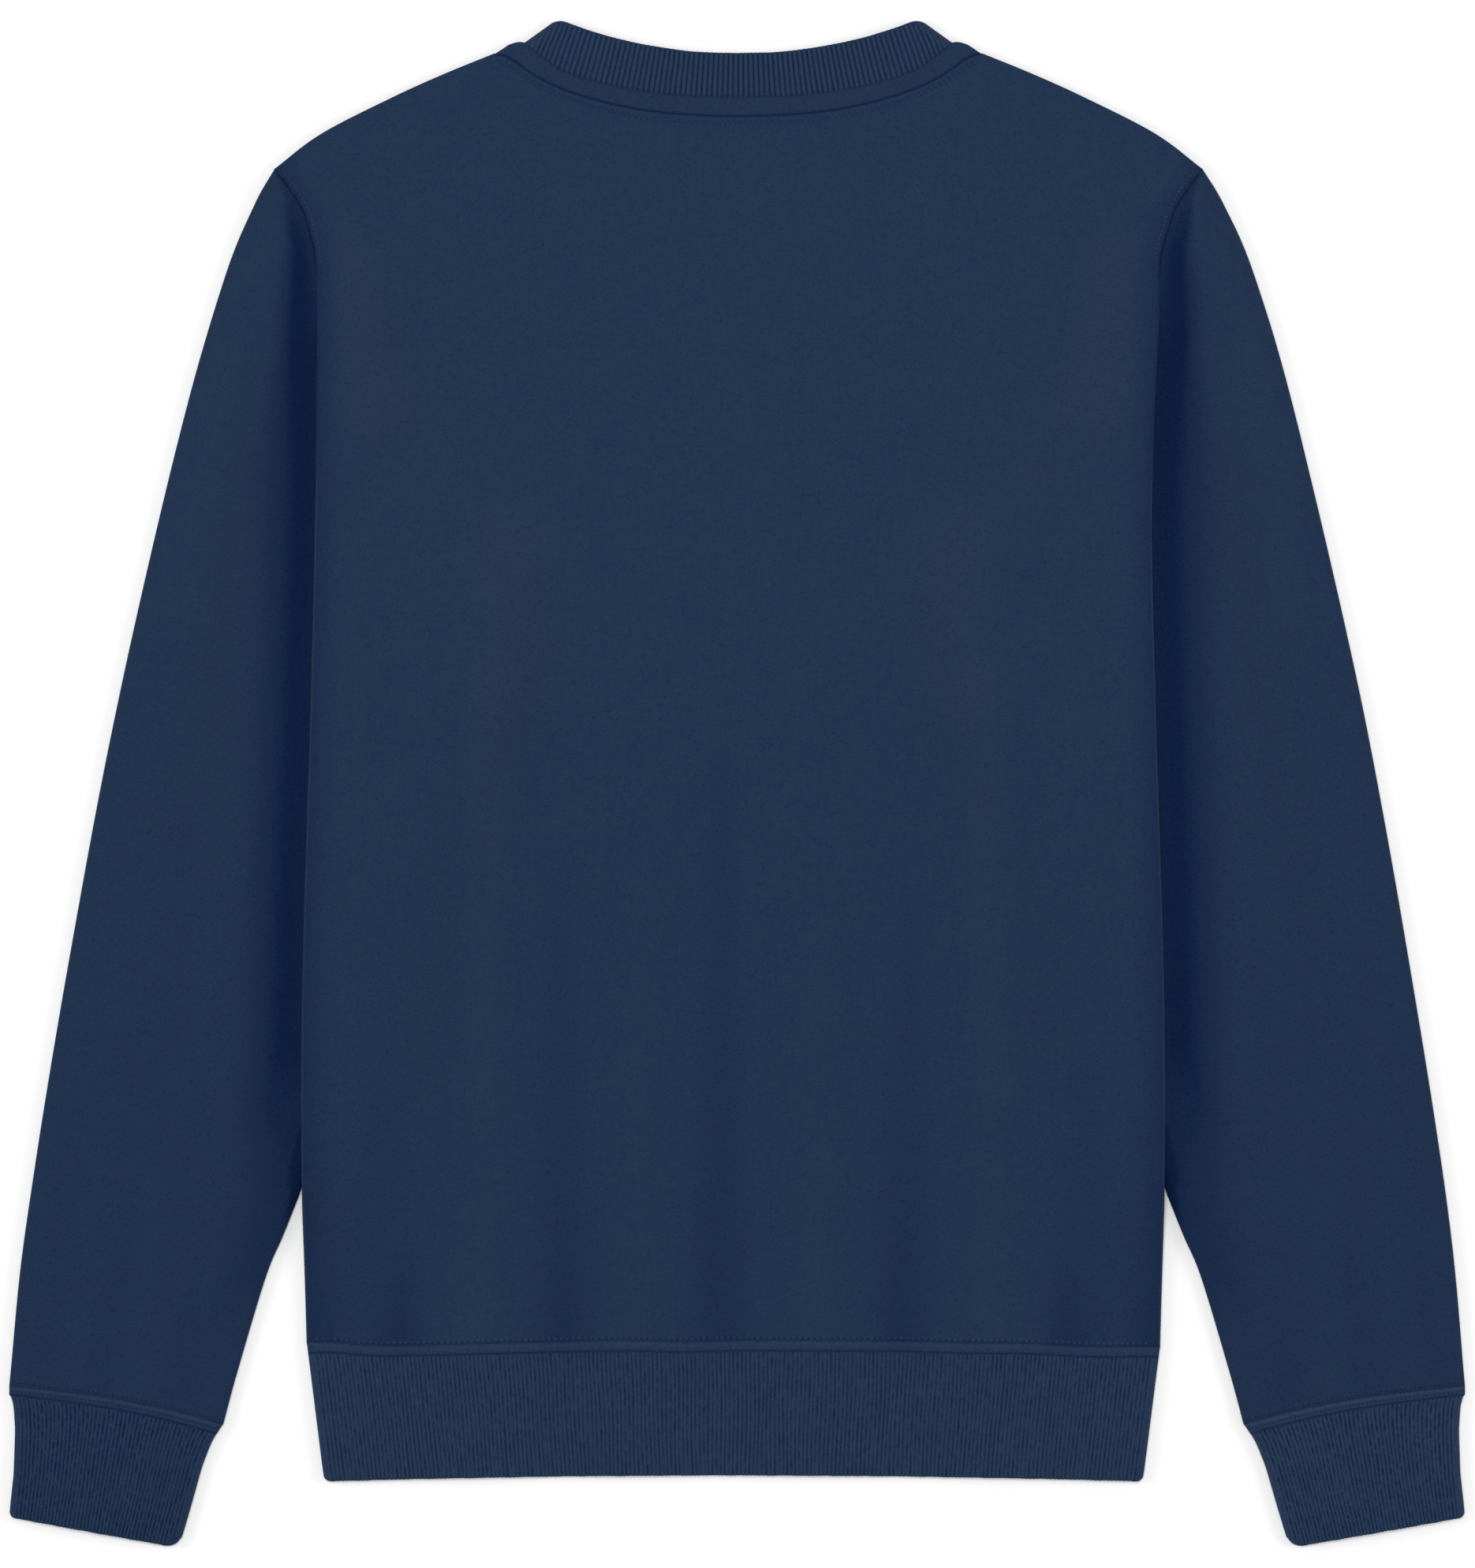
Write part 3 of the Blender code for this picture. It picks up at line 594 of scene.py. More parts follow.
neck = dict(
    # the back of each line, from the middle to its end
    seam=[
        (0.0, 0.3247), (0.025, 0.3255), (0.045, 0.3275), (0.065, 0.3315), (0.085, 0.3377),
        (0.099, 0.3445), (0.1069, 0.3499), (0.1105, 0.3525), (0.1145, 0.3543), (0.1187, 0.355),
    ],
    ribStart=[
        (0.0, 0.334), (0.03, 0.3349), (0.055, 0.3381), (0.072, 0.342), (0.086, 0.347),
        (0.095, 0.353), (0.1044, 0.3602),
    ],
    ribEdge=[
        (0.0, 0.3552), (0.022, 0.3559), (0.0433, 0.3589), (0.06, 0.3625), (0.075, 0.367),
        (0.088, 0.3718),
    ],
    # the middle of the front of each line, and how it curves
    fore=dict(seam=(0.272, 2.6), ribStart=(0.2815, 2.6), ribEdge=(0.3025, 2.4)),
    points=64, bandPoints=195,
    # where the neck band's own end bulges beyond the fold: how far down, and how much
    bulge=[(0.0, 0.0), (0.25, 0.001), (0.5, 0.002), (0.75, 0.0018), (0.9, 0.0011), (1.0, 0.0003)],
    bulgeReach=0.016, bulgeJoins=0.01,
    # ribLine and ribLineWidth: a painted dark line of shade where the rib starts, as a share of the neck's
    # crease shade
    rowStep=0.0012, innerRows=4, tone=0.548, ribLine=0.25, ribLineWidth=0.0008,     # the neck band's
)
panel = dict(
    back=dict(neckSteps=40, sideSteps=36, rowStep=0.0031),
    front=dict(neckSteps=20, sideSteps=18, rowStep=0.007),
    edge=(0.0, 0.00012, 0.0004, 0.0009, 0.0015, 0.0022, 0.0028, 0.0033, 0.0039, 0.0047),
    tone=0.546, lowTone=0.534, toneRises=(-0.25, 0.45),
    shoulderSlope=0.89,                 # the shoulders slope, so their edge is nearer
    sewnOver=0.03,                      # the side is sewn to the sleeve from this far above the tuck
    meet=0.00022, meetReach=0.004,      # the two panels close on each other at the sides and shoulders
    formReach=0.004,
    # stitch rows: how far from the seam, and how firmly pressed
    hemRow=(0.0019, 0.6), neckRows=((0.003, 0.4), (0.0043, 0.4)), armholeRow=(0.0031, 0.5),
    armholeRowSeen=(0.245, 0.01),
    # painted shade on the back towards its folded sides, over more width further down
    side=-0.072, sideWidth=(0.014, 0.023), sideWidthDown=(0.0, 0.25), sideShadeCurve=1.5,
    # and a painted highlight along the fold: where it is, and how wide
    sideLine=0.115, sideHighlightAt=(0.0005, 0.0009), sideHighlightSeen=(0.175, -0.04),
)
neckBacks = {
    row: smoothLine([(-x, y) for x, y in neck[row][:0:-1]] + neck[row])
    for row in ("seam", "ribStart", "ribEdge")
}


def neckCurve(row, x, front):
    half, end = neck[row][-1]
    if front:
        middle, power = neck["fore"][row]
        return middle + (end - middle) * (np.abs(x) / half) ** power
    return np.interp(x, neckBacks[row][:, 0], neckBacks[row][:, 1])


def neckLine(row, front):
    half = neck[row][-1][0]
    x = half * np.sin(np.linspace(-math.pi / 2, math.pi / 2, neck["points"] + 1))
    return np.column_stack([x, neckCurve(row, x, front)])


def panelGrid(front):
    # x, y, the distances to the side, the top and the hem, and whether the neck is above
    sizes = panel["front" if front else "back"]
    neckX, shoulderX = outline["shoulder"][0][0], outline["shoulder"][-1][0]
    edge = np.array(panel["edge"]) / hem["halfWidth"]
    neckShare = neckX / shoulderX
    inner = np.linspace(0, neckShare, sizes["neckSteps"] + 1)
    outer = np.linspace(neckShare, 1 - edge[-1], sizes["sideSteps"] + 1)[1:]
    right = np.concatenate([inner, outer, 1 - edge[-2::-1]])
    shares = np.concatenate([-right[:0:-1], right])
    across = np.abs(shares) * shoulderX
    top = np.interp(across, shoulderLine[:, 0], shoulderLine[:, 1])
    top = np.where(across < neckX, neckCurve("seam", across, front), top)
    low = hemLine(shares * hem["halfWidth"]) - seams["lap"]
    length = top[len(top) // 2] - low[len(low) // 2]
    rows = spaced(length, sizes["rowStep"], panel["edge"]) / length
    y = top - rows[:, None] * (top - low)
    half = acrossAt(sideLine, y)
    return shares * half, y, half - np.abs(shares) * half, top - y, y - low, across < neckX


def makePanel(name, front):
    x, y, fromSide, fromTop, fromHem, atNeck = panelGrid(front)
    slope = np.where(atNeck, 1.0, panel["shoulderSlope"])
    drop = np.maximum(edgeDrop(fromTop * slope), edgeDrop(fromHem)) * seams["drop"]
    sewn = rising(y, (tuckTop, panel["sewnOver"]))
    drop = np.maximum(edgeDrop(fromSide) * (1 - sewn * (1 - armholeDrop(y))), drop)
    rows = [(fromTop, row, atNeck) for row in panel["neckRows"]] + [(fromHem, panel["hemRow"], 1.0)]
    rows.append((fromSide, panel["armholeRow"], rising(y, panel["armholeRowSeen"])))
    furrow = np.max([channel(distance, at) * firm * where for distance, (at, firm), where in rows], axis=0)
    # painted shade in the stitch furrows and in the creases of the hem, neck and armhole seams
    tone = fleeceTone(panel, y) + furrow * seams["furrowShade"]
    tone = tone + creaseShade("hemCreaseShade", fromHem - seams["lap"]) + creaseShade("neckCreaseShade", fromTop) * atNeck
    tone = tone + creaseShade("armholeCreaseShade", fromSide) * rising(y, seams["armholeSeen"])
    fromEdge = np.minimum(fromSide, np.where(atNeck, 1.0, fromTop * slope))
    meet = panel["meet"] * softStep(1 - fromEdge / panel["meetReach"])
    base = bodyLift(x, y)
    if front:
        upper = base + cloth["wall"] + meet
        lower = base + drop
    else:
        form, formLightAndShade = backForm(x, y)
        lower = base + cloth["flatHeight"] - cloth["wall"] + form * softStep(fromSide / panel["formReach"])
        upper = lower + cloth["wall"] - drop - furrow * seams["furrowDepth"]
        lower = lower - meet
        # painted light and shade of the forms, and painted shade towards the folded sides
        wide = np.interp(-y, panel["sideWidthDown"], panel["sideWidth"])
        tone = tone + formLightAndShade + panel["side"] * near(fromSide, wide) ** panel["sideShadeCurve"]
        # a painted highlight along the fold
        line = channel(fromSide, *panel["sideHighlightAt"]) * rising(y, panel["sideHighlightSeen"])
        tone = tone + panel["sideLine"] * line
    upper, lower = (np.stack([x, y, height], axis=2) for height in (upper, lower))
    rings = np.concatenate([upper, lower[:, ::-1]], axis=1)
    toneRing = np.concatenate([tone, tone[:, ::-1]], axis=1)
    middle = x[len(x) // 2]
    u, v = np.concatenate([middle, middle[::-1], middle[:1]]), y[:, y.shape[1] // 2]
    return lofted(name, rings, {"tone": toneRing}, u, v, fleece, endless=False)


back = makePanel("backPanel", front=False)
front = makePanel("frontPanel", front=True)
print("body panels made")


# sleeves, made for +X and mirrored for -X
sleeve = dict(
    upperPoints=96, lowerPoints=24, rowStep=0.0031, innerRows=44,
    edge=(0.0, 0.00012, 0.0004, 0.0009, 0.0015, 0.0022, 0.003),
    loft=0.0034, loftPower=0.8, formFade=0.1,
    # cuffRowTone: the share of a stitch furrow's painted shade that the cuff row gets
    cuffRow=0.0016, cuffRowTone=0.6, cuffBow=(0.0031, -0.0002),     # the seam bows towards the sleeve
    tone=0.54, lowTone=0.522, toneRises=(-0.27, 0.45),
    joinedFrom=-0.002, joinedOver=0.032, riseWidth=0.022, touch=0.00075,
)
# soft forms of the sleeve, with their painted light and shade, as the back's
sleeveForms = [
    (0.296, -0.21, 0.308, -0.29, 0.008, 0.014, -0.0006, -0.012),
    (0.262, -0.23, 0.268, -0.298, 0.008, 0.014, -0.0007, -0.014),
    (0.33, -0.23, 0.34, -0.286, 0.006, 0.012, -0.0005, -0.01),
    (0.283, -0.19, 0.288, -0.295, 0.01, 0.014, 0.0007, 0.01),
    (0.313, -0.19, 0.323, -0.29, 0.01, 0.013, 0.0006, 0.008),
    (0.248, 0.21, 0.27, 0.08, 0.014, 0.022, 0.0004, 0.006),
]
# painted shade of the valley where the sleeve goes under the side of the body
valleyShade = dict(
    # y, its deepest share, how wide it is, and how quickly it deepens towards the body
    rows=np.array([
        (0.291, 0.0, 0.003, 3.0), (0.2852, 0.5, 0.006, 3.5), (0.2776, 0.62, 0.011, 4.0),
        (0.2699, 0.8, 0.014, 4.2), (0.2622, 0.92, 0.016, 4.2), (0.2469, 1.0, 0.022, 3.0),
        (0.2277, 1.0, 0.025, 3.2), (0.2085, 1.0, 0.026, 3.2), (0.1816, 1.0, 0.032, 2.2),
        (0.151, 1.0, 0.038, 1.7), (0.05, 0.9, 0.038, 1.65), (-0.128, 0.9, 0.038, 1.65),
        (-0.1559, 0.6, 0.038, 1.7), (-0.1751, 0.6, 0.045, 0.9), (-0.1943, 0.6, 0.045, 0.8),
        (-0.225, 0.35, 0.04, 0.5), (-0.27, 0.0, 0.03, 0.3),
    ]),
    # how dark the painted shade is at the bottom, and how it falls off
    tone=-0.185, curve=1.85,
    # the painted shade is less where
    risen=0.25, risenOver=0.0065,       # the cloth comes up again beside the body,
    sewn=0.22, sewnOver=0.0045, sewnAt=(0.235, 0.01),   # most of all where it is sewn to it
    # painted shade along the edge where the sleeve comes out below: y and how wide
    edge=np.array([
        (-0.16, 0.0), (-0.1751, 0.0035), (-0.185, 0.007), (-0.1943, 0.0078), (-0.202, 0.005),
        (-0.2096, 0.003), (-0.23, 0.0012), (-0.25, 0.0),
    ]),
    # how dark that painted shade is, and how it ends
    dark=0.84, darkBeyond=0.0014, darkBlur=0.003, darkFrom=0.0012,
)


def valleyShadeAt(x, y, inner):
    # how much painted shade: 1 at the bottom of the valley, 0 on the plain sleeve
    deepest, width, steep = (byRow(valleyShade["rows"], column, y) for column in (1, 2, 3))
    away = np.abs(x - inner)
    depth = np.minimum(deepest, steep * near(away, width) ** valleyShade["curve"])
    sewn = valleyShade["sewn"] * rising(y, valleyShade["sewnAt"]) * near(away, valleyShade["sewnOver"])
    risen = valleyShade["risen"] * near(away, valleyShade["risenOver"]) + sewn
    wide = byRow(valleyShade["edge"], 1, y)
    dark = valleyShade["dark"] * rising(away, (wide + valleyShade["darkBeyond"], -valleyShade["darkBlur"]))
    return np.maximum(depth * (1 - risen), dark * softStep(wide / valleyShade["darkFrom"]))


def sleeveRise(x, y, inner):
    # beside the armhole the sleeve comes up to the body, and below it touches it from underneath
    body = bodyLift(inner, y)
    joined = rising(y, (tuckTop + sleeve["joinedFrom"], sleeve["joinedOver"]))
    height = body * joined + np.minimum(body, sleeve["touch"]) * (1 - joined)
    return height * near(x - inner, sleeve["riseWidth"]) ** 2


def cuffSeam(share):
    share = np.asarray(share)[:, None]
    start, end = outerLine[-1], underLine[-1]
    along = (end - start) / np.linalg.norm(end - start)
    bow = sum(size * np.sin((k + 1) * np.pi * share) for k, size in enumerate(sleeve["cuffBow"]))
    return start * (1 - share) + end * share + bow * np.array([along[1], -along[0]])


def sleevePlan(down):
    # the sleeve's line at a share of the way to the cuff, from its outer edge to the underarm
    across = np.linspace(0, 1, sleeve["upperPoints"])
    side = sideLine[sideLine[:, 1] >= tuckTop]
    armhole = atShares(np.vstack([movedLeft(side, -seams["lap"]), hiddenLine[1:]]), across)
    outer = atShares(np.vstack([armhole[:1], outerLine[1:]]), down)
    inner = atShares(np.vstack([armhole[-1:], underLine[1:]]), down)
    a = across[:, None]
    sides = outer * (1 - a) + inner * a
    ends = armhole * (1 - down) + cuffSeam(across) * down
    corners = (armhole[0] * (1 - a) + armhole[-1] * a) * (1 - down)
    return sides + ends - corners - (outerLine[-1] * (1 - a) + underLine[-1] * a) * down


def sleeveTop(x, y):
    # height and tone of the sleeve's upper layer: its forms' painted light and shade, and the valley's
    # painted shade
    body = acrossAt(sideLine, y)
    inner = np.where(y < emergesAt, np.maximum(body, acrossAt(underLine, y)), body)
    share = np.clip((x - inner) / (acrossAt(outerLine, y) - inner), 0, 1)
    form, formLightAndShade = formsAt(sleeveForms, x, y)
    form = form * softStep(share / sleeve["formFade"]) * softStep((1 - share) / sleeve["formFade"])
    loft = sleeve["loft"] * np.sin(np.pi * share) ** sleeve["loftPower"]
    tone = fleeceTone(sleeve, y) + formLightAndShade + valleyShade["tone"] * valleyShadeAt(x, y, inner)
    return cloth["flatHeight"] + loft + form + sleeveRise(x, y, body), tone


def makeSleeve(name, side):
    shares = [np.linspace(0, 1, sleeve[key]) for key in ("upperPoints", "lowerPoints")]
    length = travelled(outerLine)[-1]
    down = spaced(length, sleeve["rowStep"], sleeve["edge"])
    rows = bothFaces(down, sleeve["innerRows"])
    rings, tone = [], []
    for reach, inset in rows:
        plan = sleevePlan(reach / length)
        x, y = drawnIn(plan, cloth["turnRadius"], shares[0]).T
        top, light = sleeveTop(x, y)
        if not inset:
            furrow = channel(length - reach, sleeve["cuffRow"])
            top = top - edgeDrop(reach) * armholeDrop(y) - edgeDrop(length - reach) * seams["drop"]
            top = top - furrow * seams["furrowDepth"]
            # painted shade in the cuff row's furrow and in the creases of the armhole and cuff seams
            light = light + furrow * seams["furrowShade"] * sleeve["cuffRowTone"]
            light = light + creaseShade("armholeCreaseShade", reach) * rising(y, seams["armholeSeen"])
            light = light + creaseShade("hemCreaseShade", length - reach)
        rings.append(flatRing((plan, plan), shares, top, 0.0, inset) * (side, 1, 1))
        tone.append(aroundRing(light, len(shares[1]), sleeve["tone"]))
    u, v = ringPath(rings[len(down) // 2]), rows[:, 0]
    return lofted(name, rings, {"tone": tone}, u, v, fleece)


sleeves = [makeSleeve("sleeveLeft", -1), makeSleeve("sleeveRight", 1)]
print("sleeves made")


# rib bands: a ring of ribs, with a smooth pressed roll at its head where it has one
ribBands = dict(
    collar=dict(
        ribs=86, steps=8, underSteps=4, height=0.0008, power=0.6, rowStep=0.0012, innerRows=5, roll=0.0,
        waver=0.0, tone=0.594, seed=1.0, corner=(0.004, 0.004), plainEnd=0.0045, fray=0.0001,
        # its ribs lean less than its folds do and crowd towards them
        pitch=0.00258, lean=0.915, crowdFrom=0.082, crowding=19.0,
    ),
    hem=dict(
        ribs=198, steps=6, underSteps=3, height=0.0005, power=0.75, rowStep=0.005, innerRows=7, roll=0.0049,
        waver=0.16, tone=0.589, seed=2.0, corner=(0.003, 0.003), plainEnd=0.0015, fray=0.0002,
        # its roll's height and tone, and the strength of the painted highlight and dark stripe on it
        rollHeight=0.0008, rollTone=0.574, stripe=0.006,
    ),
    cuff=dict(
        ribs=46, steps=8, underSteps=4, height=0.0005, power=0.75, rowStep=0.0036, innerRows=7, roll=0.005,
        waver=0.14, tone=0.571, seed=3.0, corner=(0.003, 0.0068), plainEnd=0.002, fray=0.0002,
        # its roll's height and tone, and the strength of the painted highlight and dark stripe on it
        rollHeight=0.0009, rollTone=0.556, stripe=0.036,
    ),
)
bandRows = dict(
    start=(0.0, 0.00012, 0.0004, 0.0009, 0.0015, 0.0021, 0.0027, 0.0033),
    rollEnd=(-0.0012, -0.0007, -0.0003, 0.0, 0.0002, 0.0005, 0.0009, 0.0014, 0.002),
    end=(0.0022, 0.0015, 0.0009, 0.0004, 0.00012, 0.0),
    edgeDrop=0.6, cornerCut=0.9, frayReach=0.0015, foldRibs=3,
)
ribs = dict(
    # a slow bend of the ribs, as they are pulled about
    bendLength=0.011, bendShift=2.5, bendPitch=0.06, bendFrom=0.02,
    growOver=0.0014,                    # they come up below the roll
    # beside the folds they are faint and filled, over less width towards the free edge
    endLess=0.75, endStart=0.2, endSeen=0.35, filled=0.7,
    frayWave=0.6, frayPitch=9.0,
)
# the roll: its edges, the painted highlight and the painted shade of a furrow along it, and the painted
# shade under it
roll = dict(
    headEdge=0.001, footEdge=0.0008, light=(0.0013, 0.0012), dark=(0.0027, 0.0009), darker=1.5,
    footLine=-0.14, footLineAt=0.0001, footLineWidth=0.0009,
)


def bandDistances(length, sizes):
    start, end = np.array(bandRows["start"]), bandRows["end"][0]
    if sizes["roll"]:
        start = np.concatenate([start, sizes["roll"] + np.array(bandRows["rollEnd"])])
    steps = int(round((length - start[-1] - end) / sizes["rowStep"]))
    inner = np.linspace(start[-1], length - end, steps + 1)
    return np.concatenate([start, inner[1:], length - np.array(bandRows["end"][1:])])


def ribNumbers(line, places, corners, down, sizes):
    # the rib that each point lies on: a rib runs straight on past a corner
    x = drawnIn(line, cloth["turnRadius"], places, corners)[:, 0]
    if "lean" in sizes:
        out = x / (1 - (1 - sizes["lean"]) * down)
        crowd = sizes["crowding"] / 2 * np.maximum(np.abs(out) - sizes["crowdFrom"], 0) ** 2
        return (out + np.sign(out) * crowd) / sizes["pitch"] + sizes["ribs"] / 2
    plain = drawnIn(line, cloth["turnRadius"], places)[:, 0]
    order = 1 if plain[0] < plain[-1] else -1
    return np.interp(x, plain[::order], (places * sizes["ribs"])[::order])


def rollForm(reach, sizes):
    # height and tone of the pressed roll at the head of a band: its strip a little darker, a painted
    # highlight and a painted dark furrow along it, and painted shade under its foot
    if not sizes["roll"]:
        return 0.0, 0.0
    height = sizes["rollHeight"] * np.sin(np.pi * np.clip(reach / sizes["roll"], 0, 1)) ** 0.5
    strip = softStep(reach / roll["headEdge"]) * softStep((sizes["roll"] - reach) / roll["footEdge"])
    stripe = channel(reach, *roll["light"]) - roll["darker"] * channel(reach, *roll["dark"])
    foot = roll["footLine"] * channel(reach, sizes["roll"] + roll["footLineAt"], roll["footLineWidth"])
    return height, (sizes["rollTone"] - sizes["tone"]) * strip + sizes["stripe"] * stripe + foot


def ribBand(name, plan, lie, sizes, material, side=1):
    # plan(down) gives its lines, lie(x, down) its height and its painted light and shade, from the seam, 0,
    # to the edge, 1
    count, turnSteps = sizes["ribs"], cloth["turnSteps"]
    shares = [np.linspace(0, 1, count * sizes[key] + 1) for key in ("steps", "underSteps")]
    head, foot = (plan(down)[0] for down in (0.0, 1.0))
    outward = foot[len(foot) // 2] - head[len(head) // 2]
    length = np.linalg.norm(outward)
    places = shares[0] * travelled(head)[-1]
    down = bandDistances(length, sizes)
    rows = bothFaces(down, sizes["innerRows"])
    turn = np.arange(1, turnSteps + 1) / (turnSteps + 1) * bandRows["foldRibs"]
    rings, tone, counted, ribbed = [], [], [], []
    for reach, inset in rows:
        part = reach / length
        lines = plan(part)
        pull = ribs["bendShift"] * unevenness(places, ribs["bendPitch"], sizes["seed"])
        bend = np.sin(reach / ribs["bendLength"] + pull) * np.sin(np.pi * shares[0])
        bend = bend * sizes["waver"] / count * softStep(reach / ribs["bendFrom"])
        spread = (shares[0] + bend, shares[1])
        toEdge = length - reach
        corners = [size * rounding(toEdge, size) * bandRows["cornerCut"] for size in sizes["corner"]]
        x = drawnIn(lines[0], cloth["turnRadius"], spread[0], corners)[:, 0]
        upperU = ribNumbers(lines[0], shares[0], corners, part, sizes)
        underU = upperU[-1] + bandRows["foldRibs"] + shares[1] * (2 * count + upperU[0] - upperU[-1])
        around = 2 * (count + bandRows["foldRibs"]) + upperU[0]
        counted.append(np.concatenate([upperU, upperU[-1] + turn, underU, underU[-1] + turn, [around]]))
        plainEnd = sizes["plainEnd"] * (1 - ribs["endLess"] * part)
        fromFold = np.minimum(np.abs(x - x[0]), np.abs(x[-1] - x)) / plainEnd
        seen = between(ribs["endSeen"], 1.0, rising(fromFold, (ribs["endStart"], 1 - ribs["endStart"])))
        ribbed.append(aroundRing(seen, len(shares[1]), 1.0, folds=0.0))
        form, light = lie(x, part)
        top, under, light = cloth["flatHeight"] + form, 0.0, sizes["tone"] + light
        if not inset:
            height = sizes["height"] * softStep((reach - sizes["roll"]) / ribs["growOver"])
            crests, underCrests = (np.abs(np.sin(np.pi * u)) ** sizes["power"] for u in (upperU, underU))
            under = height * (1 - underCrests)
            rolled, rollLightAndShade = rollForm(reach, sizes)
            top = top + height * between(ribs["filled"], crests, seen) + rolled
            top = top - edgeDrop(reach) * seams["drop"] - edgeDrop(toEdge) * bandRows["edgeDrop"]
            # the roll's painted light and shade
            light = light + rollLightAndShade
        ring = flatRing(lines, spread, top, under, inset, corners)
        u = counted[-1][:-1]
        frayed = ribs["frayWave"] * unevenness(u, ribs["frayPitch"], sizes["seed"])
        frayed = frayed + np.abs(np.sin(np.pi * u))
        frayed = frayed * sizes["fray"] * softStep(1 - toEdge / bandRows["frayReach"])
        ring[:, :2] += np.outer(frayed, outward / length)
        rings.append(ring * (side, 1, 1))
        tone.append(aroundRing(light, len(shares[1]), sizes["tone"]))
    values = {"tone": tone, "ribbed": ribbed}
    return lofted(name, rings, values, counted, rows[:, 0], material)


def bulged(line, part):
    # the band's ends stand out beyond the straight line of the fold
    out = np.interp(part, *zip(*neck["bulge"]))
    ends = near(np.abs(line[-1, 0]) - np.abs(line[:, 0]), neck["bulgeReach"]) ** 2
    return line + np.column_stack([0 * ends, out * ends])


def collarPlan(down):
    lines = []
    for front in (False, True):
        start = movedLeft(neckLine("ribStart", front), -seams["lap"])
        line = start * (1 - down) + neckLine("ribEdge", front) * down
        lines.append(bulged(line, 1.0) if down < neck["bulgeJoins"] else line)
    return lines


def collarLie(x, down):
    return 0 * x, 0 * x


def hemPlan(down):
    share = np.linspace(-1, 1, hem["planPoints"])
    x = share * (hem["halfWidth"] * (1 - down) + hem["edgeHalfWidth"] * down)
    start = hemLine(share * hem["halfWidth"]) + seams["lap"]
    end = hem["edgeUp"] - hem["edgeSag"] * share ** 2
    line = np.column_stack([x, start * (1 - down) + end * down])
    return line, line


def hemLie(x, down):
    # the back's forms and their painted light and shade, carried a little way onto the band
    form, tone = backForm(x, hemLine(x))
    form = form * (1 - hem["flatter"] * softStep(down / hem["flatterBy"]))
    return form, tone * hem["shadeKept"] * (1 - softStep(down / hem["shadeBy"]))


cuff = dict(
    # how far down, and its outer and inner edge there
    edges=[
        (0.077, (0.354, -0.297), (0.2512, -0.316)), (0.097, (0.353, -0.2984), (0.2521, -0.3172)),
        (0.171, (0.3518, -0.303), (0.2544, -0.3214)), (0.339, (0.3511, -0.3144), (0.2586, -0.3322)),
        (0.664, (0.3518, -0.3354), (0.2641, -0.3516)), (1.0, (0.3541, -0.3565), (0.27, -0.3715)),
    ],
    # the last two: painted light, more on the right cuff than on the left
    planPoints=41, flatter=0.5, leftPaintedLight=-0.002, rightPaintedLight=0.028,
)


def cuffPlan(down):
    share = np.linspace(0, 1, cuff["planPoints"])
    seam = movedLeft(cuffSeam(share), -seams["lap"])
    marks = [0.0] + [row[0] for row in cuff["edges"]]
    edges = ([seam[end]] + [row[column] for row in cuff["edges"]] for end, column in ((0, 1), (-1, 2)))
    outer, inner = (pointsOn(np.array(edge), down, marks) for edge in edges)
    share = share[:, None]
    chord = seam[0] * (1 - share) + seam[-1] * share
    line = outer * (1 - share) + inner * share + (seam - chord) * (1 - down)
    return line, line


def cuffLie(paintedLight):
    # a cuff's loft, and the painted light given to it
    def lie(x, down):
        loft = np.sin(np.pi * np.clip((x - x.min()) / (x.max() - x.min()), 0, 1)) ** sleeve["loftPower"]
        return sleeve["loft"] * loft * (1 - cuff["flatter"] * down), paintedLight + 0 * x
    return lie


def makeNeckBand():
    seam, ribStart = ([neckLine(row, front) for front in (False, True)] for row in ("seam", "ribStart"))
    seam = [movedLeft(line, -seams["lap"]) for line in seam]
    length = neck["ribStart"][0][1] - neck["seam"][0][1]
    down = spaced(length, neck["rowStep"], bandRows["start"])
    rows = bothFaces(down, neck["innerRows"])
    shares = [np.linspace(0, 1, count) for count in (neck["bandPoints"], neck["points"] + 1)]
    rings, tone = [], []
    for reach, inset in rows:
        part = reach / length
        plan = [bulged(a * (1 - part) + b * part, part) for a, b in zip(seam, ribStart)]
        drop = 0.0 if inset else (edgeDrop(reach) + edgeDrop(length - reach)) * seams["drop"]
        top = np.full(neck["bandPoints"], cloth["flatHeight"] - drop)
        rings.append(flatRing(plan, shares, top, 0.0, inset))
        # painted shade in the seam's crease, and a painted dark line where the rib starts
        line = seams["neckCreaseShade"] * neck["ribLine"] * channel(length - reach, 0.0, neck["ribLineWidth"])
        tone.append(np.full(len(rings[0]), neck["tone"] + creaseShade("neckCreaseShade", reach) + line))
    u, v = ringPath(rings[len(down) // 2]), rows[:, 0]
    return lofted("neckBand", rings, {"tone": tone}, u, v, bandKnit)


neckBand = makeNeckBand()
neckRib = ribBand("neckRib", collarPlan, collarLie, ribBands["collar"], collarKnit)
hemRib = ribBand("hemRib", hemPlan, hemLie, ribBands["hem"], hemKnit)
cuffs = [
    ribBand("cuffLeft", cuffPlan, cuffLie(cuff["leftPaintedLight"]), ribBands["cuff"], cuffKnit, side=-1),
    ribBand("cuffRight", cuffPlan, cuffLie(cuff["rightPaintedLight"]), ribBands["cuff"], cuffKnit),
]
print("bands made")


